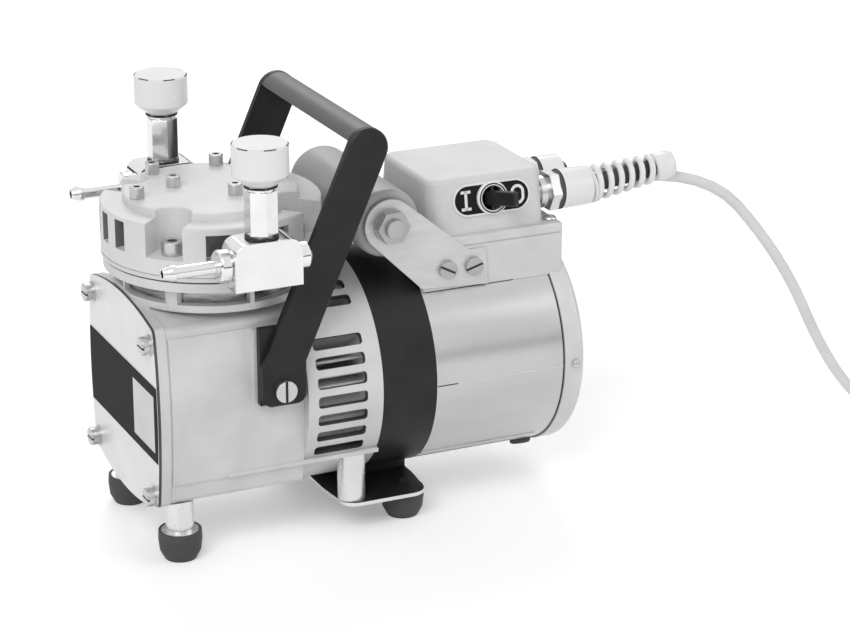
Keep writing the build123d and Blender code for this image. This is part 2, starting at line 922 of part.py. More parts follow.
def make_handle_screws():
    screws = []
    x = arm_foot_front + handle_screw_back
    face = arm_inner + arm_thickness
    shank_end = crank_corner_half - 4
    for side in (-1, 1):
        start, end = sorted((side * shank_end, side * face))
        screw = rod_y(handle_screw_radius, start, end, x, handle_screw_z)
        start, end = sorted((side * face, side * (face + 3.2)))
        screw += rod_y(handle_screw_head, start, end, x, handle_screw_z)
        slot_start, slot_end = sorted((side * (face + 1.8), side * (face + 5)))
        screw -= block(x - 0.8, x + 0.8, slot_start, slot_end, handle_screw_z - 8,
                       handle_screw_z + 8)
        screws.append(screw)
    return solids(screws)


# Capacitor


def make_capacitor():
    can = rod_y(can_radius, can_near, can_near + can_length, can_x, can_z)
    can = fillet(can.edges().filter_by(GeomType.CIRCLE), can_dome)
    face = bracket_face()
    can += rod_y(washer_radius, face, can_near + 1, can_x, can_z)
    can += rod_y(stud_radius, face - bracket_thickness - stud_length, can_near + 1, can_x, can_z)
    return can


def bracket_face():
    return -base_half


def tangent_point(point, centre, radius, side):
    """Point where the tangent from a point outside touches a circle."""
    away_x, away_z = point[0] - centre[0], point[1] - centre[1]
    distance = math.hypot(away_x, away_z)
    turn = math.acos(radius / distance) * side
    angle = math.atan2(away_z, away_x) + turn
    return (centre[0] + radius * math.cos(angle), centre[1] + radius * math.sin(angle))


def bracket_screw_places():
    return [(base_front + 15.6, base_top - 18.2), (base_front + 32.8, base_top - 18.2)]


def make_bracket():
    centre = (can_x, can_z)
    low_corner = (base_front - 0.7, base_low + 5.5)
    far_low = (base_front + 42.5, base_low + 3)
    far_high = (base_front + 41.2, base_top - 8)
    notch = (base_front + 29.8, base_top - 7.8)
    lower = tangent_point(low_corner, centre, bracket_eye_radius, -1)
    upper = tangent_point(notch, centre, bracket_eye_radius, 1)
    face = make_face(Polyline(lower, low_corner, far_low, far_high, notch, upper, centre, close=True))
    face += Pos(*centre) * Circle(bracket_eye_radius)
    face -= Pos(*centre) * Circle(stud_radius + loose_fit)
    for x, z in bracket_screw_places():
        face -= Pos(x, z) * Circle(2.5 + loose_fit)
    flat = Plane.XZ * face
    return Pos(0, bracket_face(), 0) * extrude(flat, bracket_thickness)


def make_capacitor_nut():
    face = bracket_face() - bracket_thickness
    washer = rod_y(washer_radius - 0.5, face - washer_thickness, face, can_x, can_z)
    washer -= rod_y(stud_radius + running_fit, face - 9, face + 1, can_x, can_z)
    outline = Plane.XZ * RegularPolygon(nut_across / 2, 6, major_radius=False)
    nut = Pos(can_x, face - washer_thickness, can_z) * extrude(outline, nut_thickness)
    nut -= rod_y(stud_radius + running_fit, face - 15, face + 1, can_x, can_z)
    return solids([washer, nut])


def make_bracket_screws():
    face = bracket_face() - bracket_thickness
    screws = []
    for (x, z), turn in zip(bracket_screw_places(), bracket_slot_turns):
        screw = rod_y(bracket_screw_head, face - 2.6, face, x, z)
        screw += rod_y(2.5, face - 1, face + 12, x, z)
        screw -= Pos(x, 0, z) * Rot(0, turn, 0) * block(-7, 7, face - 4, face - 1.5, -0.7, 0.7)
        screws.append(screw)
    return solids(screws)


# Terminal box


def make_terminal_base():
    back = base_front + base_length
    body = block(base_front, back, -base_half, base_half, base_low, base_top)
    upright = body.edges().filter_by(Axis.Z)
    body = fillet(upright, 3)
    body = chamfer(body.edges().group_by(Axis.Z)[-1], 1.0)
    groove_low = base_top - 6
    frame = block(base_front - 1, back + 1, -base_half - 1, base_half + 1, groove_low,
                  groove_low + 0.8)
    frame -= block(base_front + 0.6, back - 0.6, -base_half + 0.6, base_half - 0.6, groove_low - 1,
                   groove_low + 2)
    body -= frame
    body -= rod_x(motor_radius + running_fit, base_front - 2, shell_back)
    body -= rod_x(motor_radius + cap_overhang + running_fit, shell_back, back + 2)
    for x, z in bracket_screw_places():
        body -= rod_y(2.5 + running_fit, -base_half - 1, -base_half + 13, x, z)
    return body


def lid_block(inset, corner):
    near, far = lid_half - inset, lid_far_half - inset
    top = base_top + lid_height - inset
    outline = Polyline((-near, base_top), (far, base_top), (far - lid_taper, top),
                       (lid_taper - near, top), close=True)
    start = lid_front + inset
    body = Pos(start, 0, 0) * extrude(Plane.YZ * make_face(outline), lid_length - 2 * inset)
    steep = [edge for edge in body.edges() if abs(edge.center().Z - (base_top + top) / 2) < 3]
    body = fillet(steep, corner)
    return fillet(body.edges().group_by(Axis.Z)[-1], min(lid_edge_radius, corner - 1))


def face_lean():
    return math.degrees(math.atan2(lid_taper, lid_height))


def on_switch_face(shape):
    """Places a shape whose own XY plane is the leaning near face of the lid."""
    share = switch_height / lid_height
    y = -lid_half + lid_taper * share
    return Pos(switch_x, y, base_top + switch_height) * Rot(90 - face_lean(), 0, 0) * shape


def make_terminal_lid():
    body = lid_block(0, lid_corner_radius) - lid_block(lid_wall, lid_corner_radius - lid_wall)
    body -= on_switch_face(Pos(0, 0, -lid_wall - 3) * Cylinder(bushing_bore + 0.5, 12))
    for y in (gland_y, second_gland_y):
        bore = gland_stem_radius + running_fit
        body -= rod_x(bore, lid_back - lid_wall - 1, lid_back + 1, y, gland_z)
    return body


def make_switch_plate():
    plate = extrude(SlotOverall(switch_plate_length, switch_plate_width), switch_plate_thickness)
    plate -= Cylinder(bushing_bore + 0.5, 10)
    return on_switch_face(plate)


def make_switch_bushing():
    sleeve = Cylinder(bushing_radius, bushing_height, align=bottom_up)
    sleeve = chamfer(sleeve.edges().filter_by(GeomType.CIRCLE).sort_by(Axis.Z)[-1], 0.8)
    sleeve -= Cylinder(bushing_bore, 3 * bushing_height)
    return on_switch_face(Pos(0, 0, switch_plate_thickness) * sleeve)


def make_switch_lever():
    blade = extrude(RectangleRounded(lever_thickness, lever_width, 1.2), lever_length + lever_tail)
    blade = chamfer(blade.edges().group_by(Axis.Z)[-1], 0.8)
    pin_length = 2 * (bushing_bore - 2 * running_fit)
    pin = Rot(90, 0, 0) * Cylinder(lever_pivot_radius, pin_length)
    pivot = switch_plate_thickness + bushing_height / 2
    lever = Pos(0, 0, pivot) * Rot(0, lever_throw, 0) * (Pos(0, 0, -lever_tail) * blade + pin)
    return on_switch_face(lever)


# Cable gland


def gland_nut(y):
    start = lid_back + gland_stem_length
    body = rod_x(gland_stem_radius, lid_back - lid_wall, start, y, gland_z)
    body += rod_x(gland_flange_radius, lid_back, lid_back + gland_flange_length, y, gland_z)
    return body + hexagon_x(gland_nut_across, start, gland_ring_start(), y, gland_z)


def gland_ring_start():
    return lid_back + gland_stem_length + gland_nut_length


def gland_body_start():
    return gland_ring_start() + gland_ring_length


def make_gland_nut():
    bore = rod_x(cord_radius + 1.5, lid_front, gland_body_start(), gland_y, gland_z)
    return gland_nut(gland_y) - bore


def make_gland_body():
    start = gland_ring_start()
    mid = gland_body_start()
    end = mid + gland_body_length
    bore = cord_radius + 1.5
    points = [
        (start, bore),
        (start, gland_body_radius - 0.8),
        (mid, gland_body_radius - 0.8),
        (mid, gland_body_radius),
        (end, gland_body_radius - 0.6),
        (end, bore),
    ]
    return turned_x(points, gland_y, gland_z)


def protector_frame(shape):
    drop = gland_body_radius * math.sin(math.radians(protector_tilt))
    start = gland_body_start() + gland_body_length + drop
    return Pos(start, gland_y, gland_z) * Rot(0, -protector_tilt, 0) * shape


def make_bend_protector():
    length = protector_length
    base = gland_body_radius - 0.8
    bore = cord_radius + 0.1
    points = [(0, bore), (0, base)]
    for number in range(protector_gap_count):
        start = protector_gap_start + number * protector_gap_pitch
        end = start + protector_gap_width
        for x, deep in ((start, False), (start, True), (end, True), (end, False)):
            outside = base + (protector_tip_radius - base) * x / length
            points.append((x, cord_radius + 1.6 if deep else outside))
    points += [(length, protector_tip_radius), (length, bore)]
    outline = Polyline(*points, close=True)
    return protector_frame(revolve(make_face(outline), Axis.X))


def make_blanking_cap():
    start = gland_body_start()
    end = start + second_body_length
    body = gland_nut(second_gland_y)
    body += rod_x(gland_body_radius - 0.8, gland_ring_start(), start, second_gland_y, gland_z)
    cap = rod_x(gland_body_radius, start, end, second_gland_y, gland_z)
    body += chamfer(cap.edges().filter_by(GeomType.CIRCLE).sort_by(Axis.X)[-1], 1.0)
    plug_end = end + second_plug_length
    return body + rod_x(second_plug_radius, end - 1, plug_end, second_gland_y, gland_z)


# Feet


def foot_places():
    return ([(foot_x_front, side * foot_y_front) for side in (-1, 1)]
            + [(foot_x_rear, side * foot_y_rear) for side in (-1, 1)])


def make_rubber_feet():
    feet = []
    lip = foot_height
    for x, y in foot_places():
        points = [
            (foot_screw_radius + 0.2, 4),
            (foot_screw_head + 0.6, 4),
            (foot_screw_head + 0.6, 0),
            (foot_radius - 3.6, 0),
            (foot_radius - 0.8, foot_height * 0.3),
            (foot_radius, foot_height * 0.7),
            (foot_radius - 0.3, lip),
            (foot_washer_radius + 0.1, lip),
            (foot_washer_radius + 0.1, lip - foot_washer_thickness),
            (foot_screw_radius + 0.2, lip - foot_washer_thickness),
        ]
        feet.append(turned_z(points, x, y))
    return solids(feet)


def make_foot_washers():
    low = foot_height - foot_washer_thickness
    return solids([ring_z(foot_washer_radius, foot_screw_radius + 0.1, low, foot_height, x, y)
                   for x, y in foot_places()])


def make_foot_screws():
    screws = []
    for x, y in foot_places():
        top = plate_z + 3.4 if x > 0 else foot_height + 12
        screw = rod_z(foot_screw_radius, 3, top, x, y)
        screw += rod_z(foot_screw_head, 4 - foot_screw_head_height, 4, x, y)
        if x > 0:
            screw += rod_z(foot_screw_radius + 1.7, plate_z, plate_z + 1.6, x, y)
        screws.append(screw)
    return solids(screws)


def make_foot_posts():
    posts = []
    for side in (-1, 1):
        front = rod_z(post_radius, foot_height, crank_corner_low, foot_x_front, side * foot_y_front)
        front -= crank_envelope(0, crank_front - 1, crank_back)
        front -= rod_z(foot_screw_radius + 0.1, 0, crank_corner_low, foot_x_front, side * foot_y_front)
        rear = rod_z(post_radius, plate_z, ledge_height, rear_post_x, side * rear_post_y)
        rear -= rod_x(motor_radius + running_fit, crank_back, 10)
        posts += [front, rear]
    return solids(posts)


def make_foot_plate():
    front, back, half = foot_plate_front, foot_plate_back, foot_plate_half
    taper, shoulder = foot_plate_taper, foot_plate_half / 2
    points = [
        (front, -shoulder),
        (front + taper, -half),
        (back - taper, -half),
        (back, -shoulder),
        (back, shoulder),
        (back - taper, half),
        (front + taper, half),
        (front, shoulder),
    ]
    face = make_face(Polyline(*points, close=True))
    corners = [vertex for vertex in face.vertices() if abs(vertex.Y) > shoulder + 1]
    face = fillet(corners, foot_plate_corner)
    plate = Pos(0, 0, plate_low) * extrude(face, foot_plate_thickness)
    for x, y in foot_places()[2:]:
        plate -= rod_z(foot_screw_radius + 0.1, 0, plate_z + 1, x, y)
    return plate


# Mains cord


def cord_route():
    fall = [(x, gland_y, z) for x, z in cord_fall]
    rest = [(x, y, cord_radius) for x, y in cord_rest]
    return fall + rest


def bend_radii(points):
    radii = []
    for before, here, after in zip(points, points[1:], points[2:]):
        first = Vector(*here) - Vector(*before)
        second = Vector(*after) - Vector(*here)
        turn = math.radians(first.get_angle(second))
        radii.append(0.45 * min(first.length, second.length) / math.tan(turn / 2))
    return radii


def make_cord():
    points = cord_route()
    radii = bend_radii(points)
    print("cord radii", [round(radius) for radius in radii])
    path = FilletPolyline(*points, radius=radii)
    section = Plane(origin=points[0], z_dir=path % 0) * Circle(cord_radius)
    cord = sweep(section, path=path)
    print("cord length", round(path.length), "volume ratio",
          round(cord.volume / (path.length * math.pi * cord_radius ** 2), 4))
    return cord


def coil_centre():
    """To the right of the cord's last run, so that it runs into the coil's outer turn."""
    (before_x, before_y), (end_x, end_y) = cord_rest[-2:]
    run = Vector(end_x - before_x, end_y - before_y).normalized()
    outer_turn = coil_radius + coil_half_width - cord_radius
    return (end_x + outer_turn * run.Y, end_y - outer_turn * run.X)


def tie_block(inset):
    x, y = coil_centre()
    middle = y + coil_radius
    half = coil_half_width + 0.4 - inset
    return block(x - tie_width / 2, x + tie_width / 2, middle - half, middle + half, inset,
                 2 * coil_half_height - inset)


def make_coil():
    x, y = coil_centre()
    outline = Pos(coil_radius, coil_half_height) * RectangleRounded(
        2 * coil_half_width, 2 * coil_half_height, cord_radius)
    ring = Pos(x, y, 0) * revolve(Plane.XZ * outline, Axis.Z)
    return ring - (tie_block(0) - tie_block(tie_thickness))


def make_tie():
    return tie_block(0) - tie_block(tie_thickness)


def make_plug_body():
    centre_x, centre_y = coil_centre()
    start = centre_x + 20
    neck_end = start + plug_sleeve_length
    body_end = neck_end + plug_body_length
    points = [
        (start, 0),
        (start, plug_body_radius - 2 * coil_half_height),
        (start + 16, plug_body_radius - 2 * coil_half_height),
        (neck_end, 8),
        (neck_end + 6, plug_body_radius),
        (body_end, plug_body_radius),
        (body_end, 0),
    ]
    y = centre_y + coil_radius
    body = turned_x(points, y, plug_body_radius)
    for side in (-1, 1):
        offset = side * plug_pin_spacing / 2
        body += rod_x(plug_pin_radius, body_end - 1, body_end + plug_pin_length, y + offset,
                      plug_body_radius)
    return body


pieces = {}
cord_names = ("mains_cord", "cord_coil", "cord_tie", "mains_plug", "bend_protector")


def build_all():
    makers = {
        "crankcase": make_crankcase,
        "front_cover": make_front_cover,
        "label_band": make_label_band,
        "cover_screws": make_cover_screws,
        "cover_washers": make_cover_washers,
        "diaphragm": make_diaphragm,
        "clamp_ring": make_clamp_ring,
        "head_cover": make_head_cover,
        "top_plate": make_top_plate,
        "head_bolts": make_head_bolts,
        "plate_screws": make_plate_screws,
        "inlet_disc": make_inlet_disc,
        "outlet_disc": make_outlet_disc,
        "connecting_rod": make_rod,
        "clamp_disc": make_clamp_disc,
        "rod_bearing": make_rod_bearing,
        "eccentric": make_eccentric,
        "motor_shaft": make_shaft,
        "shaft_bearings": make_shaft_bearings,
        "fan_housing": make_fan_housing,
        "fan": make_fan,
        "stator_band": make_stator_band,
        "motor_shell": make_motor_shell,
        "stator_core": make_stator_core,
        "windings": make_windings,
        "rotor": make_rotor,
        "end_cap": make_end_cap,
        "cap_screws": make_cap_screws,
        "handle_grip": make_grip,
        "handle_screws": make_handle_screws,
        "capacitor": make_capacitor,
        "capacitor_bracket": make_bracket,
        "capacitor_nut": make_capacitor_nut,
        "bracket_screws": make_bracket_screws,
        "terminal_base": make_terminal_base,
        "terminal_lid": make_terminal_lid,
        "switch_plate": make_switch_plate,
        "switch_bushing": make_switch_bushing,
        "switch_lever": make_switch_lever,
        "gland_nut": make_gland_nut,
        "gland_body": make_gland_body,
        "bend_protector": make_bend_protector,
        "blanking_cap": make_blanking_cap,
        "rubber_feet": make_rubber_feet,
        "foot_washers": make_foot_washers,
        "foot_screws": make_foot_screws,
        "foot_posts": make_foot_posts,
        "foot_plate": make_foot_plate,
        "mains_cord": make_cord,
        "cord_coil": make_coil,
        "cord_tie": make_tie,
        "mains_plug": make_plug_body,
    }
    for name, maker in makers.items():
        pieces[name] = maker()
    paired = {
        "valve_blocks": make_block,
        "valve_unions": make_union,
        "valve_columns": make_column,
        "hose_nozzles": make_nozzle,
        "valve_plugs": make_plug,
        "handle_arms": make_arm,
    }
    for name, maker in paired.items():
        shape = maker()
        pieces[name] = solids([shape, on_side(shape, 1)])
    knob = make_knob()
    pieces["knob_near"] = knob
    pieces["knob_far"] = on_side(knob, 1)


build_all()
own = [shape.bounding_box() for name, shape in pieces.items() if name not in cord_names]
middle_x = (min(box.min.X for box in own) + max(box.max.X for box in own)) / 2
print("middle_x", round(middle_x, 3), "top", max(box.max.Z for box in own))
os.makedirs("parts", exist_ok=True)
for name, shape in pieces.items():
    export_step(Pos(-middle_x, 0, 0) * shape, "parts/" + name + ".step")
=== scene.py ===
import math
import bmesh
import bpy
from mathutils import Matrix, Vector


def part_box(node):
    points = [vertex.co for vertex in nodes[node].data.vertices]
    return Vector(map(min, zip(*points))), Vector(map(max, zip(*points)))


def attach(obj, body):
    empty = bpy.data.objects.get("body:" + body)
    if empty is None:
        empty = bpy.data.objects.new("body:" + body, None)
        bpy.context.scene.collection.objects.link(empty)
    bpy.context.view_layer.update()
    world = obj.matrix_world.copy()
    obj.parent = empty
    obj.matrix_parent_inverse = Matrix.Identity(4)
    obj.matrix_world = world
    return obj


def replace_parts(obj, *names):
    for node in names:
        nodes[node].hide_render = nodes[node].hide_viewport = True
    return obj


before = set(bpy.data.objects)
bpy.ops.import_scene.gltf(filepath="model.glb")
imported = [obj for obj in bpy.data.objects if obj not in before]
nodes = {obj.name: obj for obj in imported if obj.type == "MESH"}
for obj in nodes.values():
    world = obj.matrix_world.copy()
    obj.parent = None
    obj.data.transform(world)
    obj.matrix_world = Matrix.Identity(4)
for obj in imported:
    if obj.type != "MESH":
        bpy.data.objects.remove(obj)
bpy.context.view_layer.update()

fromMillimetres = Matrix.Scale(0.001, 4)


def middleOf(name):
    low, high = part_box(name)
    return [(a + b) / 2 for a, b in zip(low, high)]


def addObject(name, data):
    made = bpy.data.objects.new(name, data)
    bpy.context.scene.collection.objects.link(made)
    return made


# The stator band's front face and the shaft's height place everything else
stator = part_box("stator_band")[0][0]
shaftHeight = middleOf("motor_shaft")[2]


# Camera
cameraSettings = {"lens": 116.87, "turn": -24.65, "height": 19.79, "distance": 1.693,
                  "aimX": 0.0576, "aimZ": 0.0181}


def addCamera(settings):
    turn = math.radians(settings["turn"])
    height = math.radians(settings["height"])
    back = Vector((math.sin(turn) * math.cos(height), -math.cos(turn) * math.cos(height),
                   math.sin(height)))
    aim = Vector((stator + settings["aimX"], 0, shaftHeight + settings["aimZ"]))
    data = bpy.data.cameras.new("camera")
    data.lens = settings["lens"]
    data.sensor_width = 36
    data.clip_start = 0.05
    camera = addObject("camera", data)
    camera.location = aim + back * settings["distance"]
    camera.rotation_euler = (-back).to_track_quat("-Z", "Y").to_euler()
    bpy.context.scene.camera = camera


addCamera(cameraSettings)
print("camera set")


# Materials
def newMaterial(name):
    material = bpy.data.materials.new(name)
    material.use_nodes = True
    return material, material.node_tree.nodes["Principled BSDF"]


def setInputs(node, values):
    for label, value in values.items():
        node.inputs[label].default_value = value
    return node


# A math node from sockets and numbers; returns its output
def addMath(tree, operation, *given):
    node = tree.nodes.new("ShaderNodeMath")
    node.operation = operation
    for socket, value in zip(node.inputs, given):
        if isinstance(value, (int, float)):
            socket.default_value = value
        else:
            tree.links.new(value, socket)
    return node.outputs[0]


# Noise in the object's own coordinates, finer along the stretched axes
def objectNoise(tree, scale, stretch):
    coords = tree.nodes.new("ShaderNodeTexCoord")
    mapping = setInputs(tree.nodes.new("ShaderNodeMapping"), {"Scale": stretch})
    noise = setInputs(tree.nodes.new("ShaderNodeTexNoise"), {"Scale": scale, "Detail": 3})
    tree.links.new(coords.outputs["Object"], mapping.inputs["Vector"])
    tree.links.new(mapping.outputs["Vector"], noise.inputs["Vector"])
    return noise


# Values that a look leaves out
plainLook = {"metal": 0.0, "specular": 0.5, "stretch": (1, 1, 1), "blotchScale": 40,
             "grainScale": 2500, "grainShare": 0.3, "rampStart": 0.3, "rampEnd": 0.7,
             "edge": 0.0004, "bumpDepth": 0.0002}


# Blotches and grain between a dark and a light tone, with softened edges
def makeFinish(name, ownLook):
    look = {**plainLook, **ownLook}
    material, shader = newMaterial(name)
    tree = material.node_tree
    setInputs(shader, {"Metallic": look["metal"], "Specular IOR Level": look["specular"]})
    blotch = objectNoise(tree, look["blotchScale"], look["stretch"])
    grain = objectNoise(tree, look["grainScale"], look["stretch"])
    ramp = tree.nodes.new("ShaderNodeValToRGB")
    for element, position, tone in zip(ramp.color_ramp.elements,
                                       (look["rampStart"], look["rampEnd"]),
                                       (look["dark"], look["light"])):
        element.position = position
        element.color = (*tone, 1)
    share = look["grainShare"]
    mixed = addMath(tree, "MULTIPLY_ADD", grain.outputs["Fac"], share, blotch.outputs["Fac"])
    tree.links.new(addMath(tree, "SUBTRACT", mixed, share / 2), ramp.inputs["Fac"])
    tree.links.new(ramp.outputs["Color"], shader.inputs["Base Color"])
    rough = setInputs(tree.nodes.new("ShaderNodeMapRange"),
                      {"To Min": look["rough"][0], "To Max": look["rough"][1]})
    tree.links.new(blotch.outputs["Fac"], rough.inputs["Value"])
    tree.links.new(rough.outputs["Result"], shader.inputs["Roughness"])
    edge = setInputs(tree.nodes.new("ShaderNodeBevel"), {"Radius": look["edge"]})
    edge.samples = 4
    bump = setInputs(tree.nodes.new("ShaderNodeBump"),
                     {"Strength": look["bump"], "Distance": look["bumpDepth"]})
    tree.links.new(edge.outputs["Normal"], bump.inputs["Normal"])
    tree.links.new(grain.outputs["Fac"], bump.inputs["Height"])
    tree.links.new(bump.outputs["Normal"], shader.inputs["Normal"])
    return material


def grey(level):
    return (level, level, level)


looks = {
    "casting": {"dark": grey(0.62), "light": grey(0.72), "rough": (0.36, 0.5), "metal": 0.2,
                "grainScale": 1800, "bump": 0.3},
    "coverPlate": {"dark": grey(0.76), "light": grey(0.84), "rough": (0.3, 0.42), "metal": 0.3,
                   "grainScale": 1600, "bump": 0.15},
    "machined": {"dark": grey(0.70), "light": grey(0.80), "rough": (0.2, 0.34), "metal": 0.8,
                 "stretch": (1, 6, 1), "grainScale": 900, "bump": 0.12},
    "bracketSteel": {"dark": grey(0.56), "light": grey(0.64), "rough": (0.28, 0.4), "metal": 0.5,
                     "stretch": (1, 1, 5), "grainScale": 1100, "bump": 0.2},
    "shell": {"dark": grey(0.53), "light": grey(0.60), "rough": (0.2, 0.3), "metal": 0.45,
              "stretch": (0.3, 1, 1), "grainScale": 1500, "bump": 0.12},
    "chrome": {"dark": grey(0.72), "light": grey(0.80), "rough": (0.06, 0.13), "metal": 1.0,
               "bump": 0.03, "edge": 0.0008},
    "darkSteel": {"dark": grey(0.36), "light": grey(0.48), "rough": (0.3, 0.42), "metal": 0.7,
                  "bump": 0.15},
    "screw": {"dark": grey(0.46), "light": grey(0.62), "rough": (0.2, 0.34), "metal": 0.95,
              "bump": 0.1},
    "blackPaint": {"dark": grey(0.010), "light": grey(0.019), "rough": (0.38, 0.5),
                   "specular": 0.28, "grainScale": 1200, "bump": 0.4},
    "label": {"dark": grey(0.012), "light": grey(0.018), "rough": (0.5, 0.6), "specular": 0.06,
              "bump": 0.05},
    "rubber": {"dark": grey(0.05), "light": grey(0.085), "rough": (0.6, 0.8), "grainScale": 1400,
               "bump": 0.5},
    "fluoro": {"dark": grey(0.72), "light": grey(0.78), "rough": (0.35, 0.5), "bump": 0.12},
    # Darker cover colour used as painted shade inside the head cover's slots and flats
    "fluoroPaintedShade": {"dark": grey(0.16), "light": grey(0.22), "rough": (0.5, 0.6), "bump": 0.1},
    "whitePlastic": {"dark": grey(0.85), "light": grey(0.89), "rough": (0.22, 0.3), "bump": 0.05},
    "lidPaint": {"dark": grey(0.68), "light": grey(0.74), "rough": (0.38, 0.5), "bump": 0.2},
    "canPaint": {"dark": grey(0.38), "light": grey(0.46), "rough": (0.3, 0.42), "bump": 0.25},
    "gripPlastic": {"dark": grey(0.07), "light": grey(0.09), "rough": (0.35, 0.5), "bump": 0.25},
    "greyPlastic": {"dark": grey(0.42), "light": grey(0.47), "rough": (0.4, 0.5), "bump": 0.12},
    "blackPlastic": {"dark": grey(0.010), "light": grey(0.018), "rough": (0.3, 0.42),
                     "specular": 0.35, "bump": 0.1},
    # Near black used as painted shade on slot walls, screw slots and the front cover's edges
    "paintedShade": {"dark": grey(0.05), "light": grey(0.08), "rough": (0.5, 0.6), "bump": 0.1},
    "iron": {"dark": grey(0.16), "light": grey(0.24), "rough": (0.5, 0.7), "metal": 0.8,
             "bump": 0.3},
    "copper": {"dark": (0.3, 0.13, 0.05), "light": (0.45, 0.2, 0.08), "rough": (0.3, 0.4),
               "metal": 0.8, "bump": 0.2},
    # Painted shade in the neck's recess, streaked with painted reflection
    "neck": {"dark": grey(0.04), "light": grey(0.42), "rough": (0.2, 0.35), "metal": 0.8,
             "stretch": (1, 1, 6), "bump": 0.1},
    "cordSheath": {"dark": grey(0.72), "light": grey(0.78), "rough": (0.45, 0.6), "bump": 0.08},
}
finishes = {name: makeFinish(name, look) for name, look in looks.items()}

# Nodes that wear each finish
dressing = {
    "lidPaint": ["terminal_lid"],
    "canPaint": ["capacitor"],
    "gripPlastic": ["handle_grip"],
    "casting": ["crankcase", "clamp_ring", "connecting_rod", "fan_housing", "end_cap",
                "terminal_base"],
    "coverPlate": ["front_cover"],
    "bracketSteel": ["capacitor_bracket"],
    "machined": ["clamp_disc", "rod_bearing", "motor_shaft", "shaft_bearings",
                 "foot_washers", "foot_posts"],
    "shell": ["motor_shell"],
    "chrome": ["valve_blocks", "valve_unions", "valve_columns", "hose_nozzles", "valve_plugs"],
    "screw": ["cover_screws", "cover_washers", "head_bolts", "plate_screws", "cap_screws",
              "handle_screws", "gland_nut"],
    "darkSteel": ["capacitor_nut", "bracket_screws"],
    "blackPaint": ["stator_band", "handle_arms", "foot_plate", "foot_screws"],
    "label": ["label_band"],
    "rubber": ["diaphragm", "inlet_disc", "outlet_disc", "rubber_feet"],
    "fluoro": ["head_cover", "top_plate"],
    "whitePlastic": ["fan", "switch_bushing", "gland_body", "bend_protector", "blanking_cap",
                     "knob_near", "knob_far"],
    "greyPlastic": ["mains_plug"],
    "blackPlastic": ["switch_plate", "switch_lever", "cord_tie"],
    "iron": ["eccentric", "stator_core", "rotor"],
    "copper": ["windings"],
    "cordSheath": ["mains_cord", "cord_coil"],
}
for finish, names in dressing.items():
    for name in names:
        slots = nodes[name].data.materials
        slots.clear()
        slots.append(finishes[finish])
print("materials on the frame")


# Mains cord: falls from the gland, lies on the floor and is wound into a coil
cordSettings = {"radius": 0.0035, "coilRadius": 0.0385, "turnGap": 0.007, "turnsAcross": 3,
                "pointsPerTurn": 16, "length": 1.84, "glandLine": -0.024, "plugLead": 0.012,
                "plugHeight": 0.018,
                "fall": [(0.152, 0.18607), (0.231, 0.1948), (0.297, 0.121), (0.334, 0.045)],
                "rest": [(0.370, -0.024), (0.398, -0.019), (0.416, -0.008)]}


# Fall in X and Z, rest on the floor in X and Y, then turns inward below and outward above
def cordPath(settings):
    radius, gap = settings["radius"], settings["turnGap"]
    points = [Vector((stator + x, settings["glandLine"], z)) for x, z in settings["fall"]]
    points += [Vector((stator + x, y, radius)) for x, y in settings["rest"]]
    run = (points[-1] - points[-2]).normalized()
    outer = settings["coilRadius"] + gap
    centre = points[-1] + Vector((run.y, -run.x, 0)) * outer
    start = math.atan2(points[-1].y - centre.y, points[-1].x - centre.x)
    steps = settings["pointsPerTurn"]
    across = settings["turnsAcross"]
    total = 2 * across * steps
    for number in range(1, total + 1):
        turns = number / steps
        if turns <= across:
            ring = outer - gap * min(turns, across - 1)
            height = radius
        else:
            ring = outer - gap * (across - 1) + gap * min(turns - across, across - 1)
            height = 3 * radius
        angle = start - 2 * math.pi * turns
        points.append(centre + Vector((ring * math.cos(angle), ring * math.sin(angle),
                                       height - radius)))
    plugLow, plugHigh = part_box("mains_plug")
    reach = Vector((plugLow[0], (plugLow[1] + plugHigh[1]) / 2,
                    plugLow[2] + settings["plugHeight"]))
    points += [reach - Vector((settings["plugLead"], 0, 0)), reach]
    return points


def addCord(settings):
    data = bpy.data.curves.new("mainsCord", "CURVE")
    data.dimensions = "3D"
    data.bevel_depth = settings["radius"]
    data.bevel_resolution = 6
    data.resolution_u = 8
    data.use_fill_caps = True
    points = cordPath(settings)
    spline = data.splines.new("NURBS")
    spline.points.add(len(points) - 1)
    for spot, point in zip(spline.points, points):
        spot.co = (*point, 1)
    spline.order_u = 3
    spline.use_endpoint_u = True
    cord = addObject("mainsCord", data)
    data.materials.append(finishes["cordSheath"])
    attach(cord, "pump")
    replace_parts(cord, "mains_cord", "cord_coil")


addCord(cordSettings)
print("cord laid")


def addPiece(name, mesh, finish, body="pump", smooth=True):
    if smooth:
        mesh.shade_smooth()
    piece = addObject(name, mesh)
    mesh.materials.clear()
    mesh.materials.append(finishes[finish])
    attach(piece, body)
    return piece


def meshFrom(name, shape):
    bmesh.ops.recalc_face_normals(shape, faces=shape.faces)
    mesh = bpy.data.meshes.new(name)
    shape.to_mesh(mesh)
    shape.free()
    return mesh


# Lathe work about Z, from (radius, height) points that close on themselves
def turned(outline, steps=96):
    shape = bmesh.new()
    rings = []
    for radius, height in outline:
        if radius == 0:
            rings.append([shape.verts.new((0, 0, height))] * steps)
            continue
        ring = []
        for step in range(steps):
            angle = 2 * math.pi * step / steps
            ring.append(shape.verts.new((radius * math.cos(angle), radius * math.sin(angle),
                                         height)))
        rings.append(ring)
    for first, second in zip(rings, rings[1:] + rings[:1]):
        if first[0] is first[1] and second[0] is second[1]:
            continue
        for step in range(steps):
            after = (step + 1) % steps
            corners = [first[step], first[after], second[after], second[step]]
            shape.faces.new(list(dict.fromkeys(corners)))
    return shape


# Blocks from pairs of a low and a high corner
def boxes(sizes):
    shape = bmesh.new()
    for low, high in sizes:
        made = bmesh.ops.create_cube(shape, size=1)["verts"]
        low, high = Vector(low), Vector(high)
        for vert in made:
            vert.co = Vector([(a + b) / 2 + c * (b - a) for a, b, c in zip(low, high, vert.co)])
    return shape


